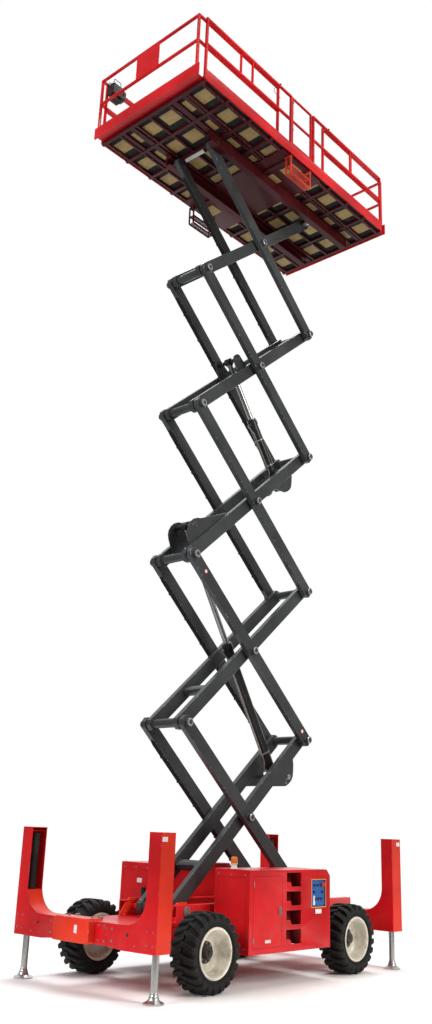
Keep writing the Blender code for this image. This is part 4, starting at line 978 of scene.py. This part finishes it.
pockets, trims = Shape(), Shape()
for z in LADDER_Z:
    low, high = (LADDER_Y[0], z), (LADDER_Y[1], z + LADDER_HOLE)
    depth = WALL - 0.170
    for piece in (bar((depth, low[0] - 0.012, low[1] - 0.012),
                      (depth + 0.006, high[0] + 0.012, high[1] + 0.012), 0.001),
                  bar((depth, low[0] - 0.012, low[1] - 0.012),
                      (WALL - 0.031, high[0] + 0.012, low[1] - 0.004), 0.001),
                  bar((depth, low[0] - 0.012, high[1] + 0.004),
                      (WALL - 0.031, high[0] + 0.012, high[1] + 0.012), 0.001),
                  bar((depth, low[0] - 0.012, low[1]), (WALL - 0.031, low[0] - 0.004, high[1]), 0.001),
                  bar((depth, high[0] + 0.004, low[1]), (WALL - 0.031, high[0] + 0.012, high[1]), 0.001)):
        pockets.add(piece)
    trims.add(plate([(low[0], z), (high[0], z), (high[0], z + 0.016), (low[0] + 0.110, z + 0.016),
                     (low[0] + 0.085, z + 0.070), (low[0], z + 0.070)], 0, WALL - 0.012, WALL - 0.0015,
                    0.002))
# the pocket walls take the darkened red, painted shade in the recesses
pockets.make("ladder_pockets", "chassis", POCKET_SHADE_RED, "red_paint")
trims.make("ladder_treads", "chassis", RED, "red_paint")

window = Shape()
window.add(frame_ring(0, WALL - 0.001, (WINDOW_Y[0], WINDOW_Z[0]), (WINDOW_Y[1], WINDOW_Z[1]), 0.010, 0.006))
window.make("control_window_trim", "chassis", YELLOW, "orange_paint")

panel_x = WALL - 0.0100
face = Shape()
face.add(plate(rounded(0.292, 0.312, 0.030, (0.565, 1.015)), 0, WALL - 0.0300, panel_x + 0.0003, 0.003))
face.make("ground_control_face", "chassis", BLUE, "blue_panel")
knobs, red_knobs, marks = Shape(), Shape(), Shape()
for y, z in ((0.475, 1.110), (0.545, 1.110), (0.615, 1.110), (0.475, 1.030), (0.655, 1.030)):
    knobs.add(turned([(0.0, 0.017), (0.004, 0.017), (0.006, 0.014), (0.018, 0.0125), (0.021, 0.009)],
                     (panel_x, y, z), 0, 20))
for y in (0.505, 0.565, 0.625):
    knobs.add(bar((panel_x, y - 0.010, 0.925), (panel_x + 0.010, y + 0.010, 0.960), 0.003))
    knobs.add(link((panel_x + 0.004, y, 0.944), (panel_x + 0.030, y, 0.962), 0.004, 0.006)[0])
knobs.make("ground_control_knobs", "chassis", KNOB, "black_paint")
red_knobs.add(turned([(0.0, 0.018), (0.010, 0.018), (0.012, 0.028), (0.018, 0.029), (0.024, 0.024),
                      (0.026, 0.012)],
                     (panel_x, 0.665, 1.115), 0, 28))
red_knobs.make("ground_stop_button", "chassis", RED_KNOB, "red_paint")
marks.add(plate(rounded(0.040, 0.110, 0.004, (0.480, 0.930)), 0, panel_x - 0.001, panel_x + 0.002, 0.0008))
marks.add(plate(rounded(0.130, 0.055, 0.006, (0.560, 0.800)), 0, WALL - 0.001, WALL + 0.0015, 0.0007))
marks.add(plate(rounded(0.110, 0.034, 0.006, (-0.470, 0.500)), 0, WALL - 0.001, WALL + 0.0015, 0.0007))
marks.make("near_cabinet_blank_plates", "chassis", WHITE, "bright_steel")

seams, fittings = Shape(), Shape()


def seam(axis, level, points, closed=True):
    """A thin dark bead that lies in the face of a panel, as the gap round a door does."""
    seams.add(tube(along_axis(points, axis, level), 0.0022, 6, closed))


for side in (1, -1):
    x = side * (WALL - 0.0008)
    seam(0, x, rounded(0.560, 0.800, 0.020, (-0.480, 0.830), 4))
    if side < 0:
        seam(0, x, rounded(0.900, 0.800, 0.020, (0.300, 0.830), 4))
    for y, z in ((-0.240, 0.830),) + (((0.050, 0.830),) if side < 0 else ()):
        fittings.add(plate(rounded(0.040, 0.110, 0.012, (y, z)), 0, *sorted((x, x + side * 0.006)), 0.002))
        fittings.add(tube(smooth_path([(x, y, z + 0.035), (x + side * 0.022, y, z + 0.035),
                                       (x + side * 0.022, y, z - 0.035), (x, y, z - 0.035)], 0.012), 0.0055,
                          10))
    for z in (0.520, 1.140):
        for y in (-0.755,):
            fittings.add(turned([(z - 0.030, 0.009), (z + 0.030, 0.009)], (side * (WALL + 0.002), y, 0.0),
                                2, 14))
for x in (0.620, 0.830, 1.050):
    for z in (0.430, 1.240):
        fittings.add(*bolt((x, CABINET_Y[0], z), 1, 0.007, -1))
        fittings.add(*bolt((-x, CABINET_Y[0], z), 1, 0.007, -1))
for y in (-0.78, -0.50, -0.22, 0.30, 0.60, 0.70):
    fittings.add(*bolt((1.085, y, CABINET_Z[1]), 2, 0.006))
    fittings.add(*bolt((-1.085, y, CABINET_Z[1]), 2, 0.006))
seam(1, CABINET_Y[0] + 0.0008, rounded(0.440, 0.760, 0.015, (0.840, 0.830), 4))
seam(1, CABINET_Y[0] + 0.0008, rounded(0.440, 0.760, 0.015, (-0.840, 0.830), 4))
seams.make("door_seams", "chassis", SHADE_AND_SEAM_BLACK, "black_paint")
fittings.make("door_handles_and_bolts", "chassis", DULL, "bright_steel")

louvres = Shape()
for i in range(9):
    z = 0.560 + i * 0.050
    for y0, y1 in ((0.200, 0.620),):
        wedge = [(-WALL - 0.010, z), (-WALL + 0.001, z + 0.030), (-WALL + 0.001, z - 0.002)]
        louvres.add(plate(wedge, 1, y0, y1, 0.001))
louvres.make("far_cabinet_louvres", "chassis", RED, "red_paint")
lamp = Shape()
lamp.add(bar((-0.700, CABINET_Y[0] - 0.030, 0.900), (-0.640, CABINET_Y[0] + 0.001, 1.000), 0.006))
lamp.add(bar((-0.690, CABINET_Y[0] - 0.020, 0.780), (-0.650, CABINET_Y[0] + 0.001, 0.900), 0.004))
lamp.make("far_cabinet_bracket", "chassis", BLACK, "black_paint")
far_plate = Shape()
far_plate.add(plate(rounded(0.090, 0.055, 0.006, (-0.760, 1.080)), 1, CABINET_Y[0] - 0.0015,
                    CABINET_Y[0] + 0.001,
                    0.0007))
far_plate.make("far_cabinet_blank_plate", "chassis", WHITE, "bright_steel")

light = Shape()
light.add(turned([(0.0, 0.046), (0.006, 0.046), (0.012, 0.038), (0.050, 0.036), (0.056, 0.044),
                  (0.062, 0.044)],
                 (0.800, -0.760, CABINET_Z[1] + SEAT), 2, 32))
light.make("beacon_base", "chassis", WHITE, "bright_steel")
lens = [(0.062, 0.0415)]
for i in range(5):
    z = 0.066 + i * 0.011
    lens += [(z, 0.0425 - i * 0.0006), (z + 0.006, 0.0410 - i * 0.0006)]
lens += [(0.126, 0.0385), (0.134, 0.033), (0.139, 0.024), (0.1405, 0.012)]
dome = Shape()
dome.add(turned(lens, (0.800, -0.760, CABINET_Z[1] + SEAT), 2, 40))
dome.make("beacon_lens", "chassis", AMBER, "amber_lens", ["beacon"], 50)

# ---------------------------------------------------------------- platform

RAIL_X = HALF_WIDTH - RAIL / 2

boards_shape, cross_ribs = Shape(), Shape()
ribs = np.linspace(MAIN_Y[0], MAIN_Y[1] - 0.050, 10)
for start, end in zip(ribs, ribs[1:]):
    middle = start > -0.45 and end < 0.70
    z = TOP_PIN_Z + (0.0965 if middle else 0.1475)
    centre = (start + 0.050 + end) / 2
    for x in (-0.860, -0.550, -0.210, 0.160, 0.550, 0.880):
        if middle and abs(x) < 0.50:
            continue
        reach = 0.050 if abs(x) == 0.550 else 0.135
        boards_shape.add(bar((x - reach, centre - 0.130, z), (x + reach, centre + 0.110, z + 0.0042), 0.002))
    if middle:
        cross_ribs.add(bar((0.510, start, TOP_PIN_Z + 0.070), (1.095, start + 0.050, TOP_PIN_Z + 0.102),
                           0.004),
                       both=True)
for x in (-1.020, -0.720, -0.350, -0.060, 0.360, 0.720, 1.030):
    span = (MAIN_Y[0] + 0.03, MAIN_Y[1] - 0.03)
    for start, end in (((span[0], -0.42), (0.66, span[1])) if abs(x) < 0.50 else (span,)):
        cross_ribs.add(bar((x - 0.018, start, TOP_PIN_Z + 0.104), (x + 0.018, end, TOP_PIN_Z + 0.154), 0.004))
# the ribs under the platform take the maroon paint, painted shade
cross_ribs.make("underside_ribs", "platform", SHADE_MAROON, "red_paint")
# A near-black sheet over the boards: painted shade that shows through the gaps between them.
shade_sheet = Shape()
for start, end in ((MAIN_Y[0] + 0.02, -0.40), (0.64, MAIN_Y[1] - 0.02)):
    shade_sheet.add(bar((-1.090, start, TOP_PIN_Z + 0.1515), (1.090, end, TOP_PIN_Z + 0.1565), 0.001))
shade_sheet.make("underside_shade_sheet", "platform", SHADE_AND_SEAM_BLACK, "black_paint")
boards_shape.make("underside_boards", "platform", BOARD, "orange_paint")

floor_skin = Shape()
floor_skin.add(plate(rounded(2.150, 4.700, 0.010, (0.0, 0.100)), 2, TOP_PIN_Z + FLOOR - 0.001,
                     TOP_PIN_Z + FLOOR + 0.0025,
                     0.0008))
floor_skin.make("chequer_floor", "platform", FLOOR_PLATE, "red_paint")


def collars_on(body, name, spots):
    """Small clamp knobs on the rails, each a stem with a round head."""
    knobs = Shape()
    for x, y, z, axis, flip in spots:
        knobs.add(turned([(0.0, 0.010), (0.012, 0.010), (0.013, 0.020), (0.028, 0.021), (0.031, 0.016)],
                         (x, y, z),
                         axis, 12, flip=flip))
    knobs.make(name, body, KNOB, "black_paint")


TOP = TOP_PIN_Z + TOP_BAR
collars_on("platform", "rail_knobs",
           [(side * RAIL_X, y, TOP, 2, 1) for side in (1, -1) for y in (-0.50, 0.85)])

STEP_Y = (-0.200, 0.312)
STEP_X = (1.012, 1.104)
STEP_Z = [TOP_PIN_Z - 0.220, TOP_PIN_Z - 0.070, TOP_PIN_Z + 0.1005]
# The near step gets the orange of painted light and the far step the maroon of painted shade: lit and shaded
# copies of one red.
for side_name, side, finish in (("near", 1, LIT_STEP_ORANGE), ("far", -1, SHADE_MAROON)):
    hanger = Shape()
    for x in STEP_X:
        legs = [(x, STEP_Y[0], STEP_Z[2]), (x, STEP_Y[0], STEP_Z[0]), (x, STEP_Y[1], STEP_Z[0]),
                (x, STEP_Y[1], STEP_Z[2])]
        hanger.add(tube(smooth_path(legs, 0.030), 0.0155, 12), side=side)
        hanger.add(tube([(x, STEP_Y[0], STEP_Z[1]), (x, STEP_Y[1], STEP_Z[1])], 0.0135, 12), side=side)
    for z in STEP_Z[:2]:
        for x in np.linspace(STEP_X[0] + 0.020, STEP_X[1] - 0.020, 3):
            hanger.add(bar((x - 0.007, STEP_Y[0], z - 0.006), (x + 0.007, STEP_Y[1], z + 0.006), 0.002),
                       side=side)
    for y in STEP_Y:
        hanger.add(bar((STEP_X[0] - 0.02, y - 0.022, STEP_Z[2] - 0.012), (STEP_X[1], y + 0.022, STEP_Z[2]),
                       0.003),
                   side=side)
    hanger.make(f"{side_name}_hanging_step", "platform", finish, "orange_paint", [f"{side_name}_entry_step"])

BOX_X = (-1.0370, -0.885)
console, console_red, guard = Shape(), Shape(), Shape()
face_outline = np.array([(-2.318, 1.020), (-2.060, 1.020), (-2.022, 1.045), (-2.022, 1.170), (-2.100, 1.232),
                         (-2.296, 1.232), (-2.318, 1.212)]) + (0.0, TOP_PIN_Z)
console.add(plate(face_outline, 0, *BOX_X, 0.014))
console.add(bar((BOX_X[0] + 0.010, -2.250, TOP_PIN_Z + 0.950),
                (BOX_X[1] - 0.030, -2.110, TOP_PIN_Z + 1.024), 0.008))
stick = (-0.960, -2.235, TOP_PIN_Z + 1.230)
console.add(turned([(-0.004, 0.026), (0.006, 0.024), (0.016, 0.012), (0.020, 0.008)], stick, 2, 24))
console.add(turned([(0.014, 0.007), (0.040, 0.008), (0.044, 0.017), (0.062, 0.020), (0.072, 0.014)], stick,
                   2, 20))
for y in (-2.170, -2.140, -2.110):
    console.add(turned([(-0.004, 0.010), (0.008, 0.009), (0.010, 0.006)], (-0.930, y, TOP_PIN_Z + 1.231), 2,
                       16))
console.make("platform_console", "front_extension", KNOB, "black_paint", ["platform_control_box"])
console_red.add(turned([(-0.004, 0.014), (0.008, 0.014), (0.010, 0.022), (0.018, 0.023), (0.022, 0.016)],
                       (BOX_X[1] - 0.001, -2.075, TOP_PIN_Z + 1.150), 0, 24))
console_red.make("platform_stop_button", "front_extension", RED_KNOB, "red_paint")
hoop = [(-1.020, -2.300, TOP_PIN_Z + 1.215), (-1.020, -2.300, TOP_PIN_Z + 1.300),
        (-1.020, -2.150, TOP_PIN_Z + 1.300), (-1.020, -2.150, TOP_PIN_Z + 1.215)]
guard.add(tube(smooth_path(hoop, 0.030), 0.0065, 10))
guard.add(tube(smooth_path(np.array(hoop) + (0.120, 0.0, 0.0), 0.030), 0.0065, 10))
guard.make("console_guard", "front_extension", KNOB, "black_paint")

latch = Shape()
for z in (0.62, 1.16):
    latch.add(bar((-0.014, GATE_Y[0] + 0.004, z - 0.020), (0.024, GATE_Y[0] + 0.036, z + 0.020), 0.005),
              place=tilt(0.0, (RAIL_X, 0.0, TOP_PIN_Z)))
latch.make("near_gate_latch", "near_gate", DULL, "bright_steel")


def hanging(name, path, diameter, finish, slot):
    """A free cord, its mesh a tube along a path."""
    path = np.asarray(path, float)
    shape = Shape()
    shape.add(tube(path, diameter / 2, 8))
    piece = shape.make(name, "platform", finish, slot)


t = np.linspace(0.0, 1.0, 41)
sag = np.stack([np.full(41, HALF_WIDTH + 0.005), -0.520 - 0.170 * np.sin(math.pi * t),
                TOP_PIN_Z + 1.235 - 0.235 * t - 0.060 * np.sin(math.pi * t)], -1)
hanging("near_post_lanyard", sag, 0.008, HOSE, "black_paint")

sign = Shape()
sign.add(plate(rounded(0.500, 0.480, 0.012, (0.010, TOP_PIN_Z + 1.032)), 1, PLATFORM_Y[0] + 0.0065,
               PLATFORM_Y[0] + 0.0125, 0.001))
sign.make("front_blank_sign", "front_extension", RED, "red_paint")

# ---------------------------------------------------------------- floor, camera and lights

scene = bpy.context.scene
scene.view_settings.view_transform = "Standard"

FLOOR_REACH = 12.0
ground = bpy.data.meshes.new("studio_floor")
corners = np.array([(-1, -1, 0), (1, -1, 0), (1, 1, 0), (-1, 1, 0)]) * FLOOR_REACH
ground.from_pydata(corners.tolist(), [], [(0, 1, 2, 3)])
pale = Finish("pale studio floor", Specular_IOR_Level=0.1)
away = pale.node("ShaderNodeVectorMath", {"operation": "LENGTH"}, {"Vector": pale.place}, "Value")
ground.materials.append(pale.feed(
    Base_Color=pale.colour(pale.noise(0.8, 3.0), tone(0.90, 0.90, 0.90), tone(0.93, 0.93, 0.93)),
    Roughness=pale.noise(2.0) * 0.1 + 0.75, Alpha=away.between(3.2, 7.0, 1.0, 0.0)))
studio = bpy.data.objects.new("studio_floor", ground)
scene.collection.objects.link(studio)

BACKDROP_HEADING = (-0.669, 0.743, 0.0)  # the white end of the room
world = bpy.data.worlds.new("white room")
world.use_nodes = True
room = world.node_tree
heading = room.nodes.new("ShaderNodeVectorMath")
heading.operation = "DOT_PRODUCT"
heading.inputs[1].default_value = BACKDROP_HEADING
room.links.new(room.nodes.new("ShaderNodeTexCoord").outputs["Generated"], heading.inputs[0])
fall = room.nodes.new("ShaderNodeMapRange")
for socket, value in (("From Min", 0.10), ("From Max", 0.58), ("To Min", 0.22), ("To Max", 1.0)):
    fall.inputs[socket].default_value = value
room.links.new(heading.outputs["Value"], fall.inputs["Value"])
room.nodes["Background"].inputs[0].default_value = (1.0, 1.0, 1.0, 1.0)
room.links.new(fall.outputs[0], room.nodes["Background"].inputs[1])
scene.world = world


def facing(position, target):
    """The turn of a lamp or camera that looks from a position at a target."""
    back = np.array(position, float) - target
    back /= np.linalg.norm(back)
    right = np.cross((0.0, 0.0, 1.0), back)
    right /= np.linalg.norm(right)
    table = np.eye(4)
    table[:3, :3] = np.stack([right, np.cross(back, right), back], -1)
    table[:3, 3] = position
    return Matrix(table.tolist())


def lamp_panel(name, position, target, size, power, colour=(1.0, 1.0, 1.0)):
    data = bpy.data.lights.new(name, "AREA")
    data.shape, data.size, data.size_y, data.energy, data.color = "RECTANGLE", *size, power, colour
    made = bpy.data.objects.new(name, data)
    made.matrix_world = facing(position, target)
    scene.collection.objects.link(made)


lamp_panel("key panel", (15.0, 1.0, 11.0), (0.0, 0.0, 4.0), (6.0, 12.0), 2100, (1.0, 0.95, 0.88))
lamp_panel("front panel", (-2.0, -17.0, 10.0), (0.0, 0.0, 4.0), (8.0, 8.0), 2000, (0.97, 0.98, 1.0))
lamp_panel("top panel", (-3.0, 4.0, 24.0), (0.0, 0.0, 0.0), (12.0, 12.0), 4200)

CAMERA_PLACE = (8.8397, -10.2385 + SHIFT_Y, 1.7711)
CAMERA_YAW, CAMERA_PITCH, CAMERA_ROLL = (math.radians(a) for a in (42.0154, 18.6141, 2.1395))
CAMERA_LENS = 33.43

forward = np.array([-math.sin(CAMERA_YAW) * math.cos(CAMERA_PITCH),
                    math.cos(CAMERA_YAW) * math.cos(CAMERA_PITCH),
                    math.sin(CAMERA_PITCH)])
level = np.array([math.cos(CAMERA_YAW), math.sin(CAMERA_YAW), 0.0])
upright = np.cross(level, forward)
right = math.cos(CAMERA_ROLL) * level + math.sin(CAMERA_ROLL) * upright
up = -math.sin(CAMERA_ROLL) * level + math.cos(CAMERA_ROLL) * upright
view = np.eye(4)
view[:3, :3] = np.stack([right, up, -forward], -1)
view[:3, 3] = CAMERA_PLACE
camera_data = bpy.data.cameras.new("camera")
camera_data.lens, camera_data.sensor_width, camera_data.sensor_fit = CAMERA_LENS, 36.0, "AUTO"
camera_data.shift_x, camera_data.shift_y = -0.0011, -0.0049
camera = bpy.data.objects.new("camera", camera_data)
camera.matrix_world = Matrix(view.tolist())
scene.collection.objects.link(camera)
scene.camera = camera
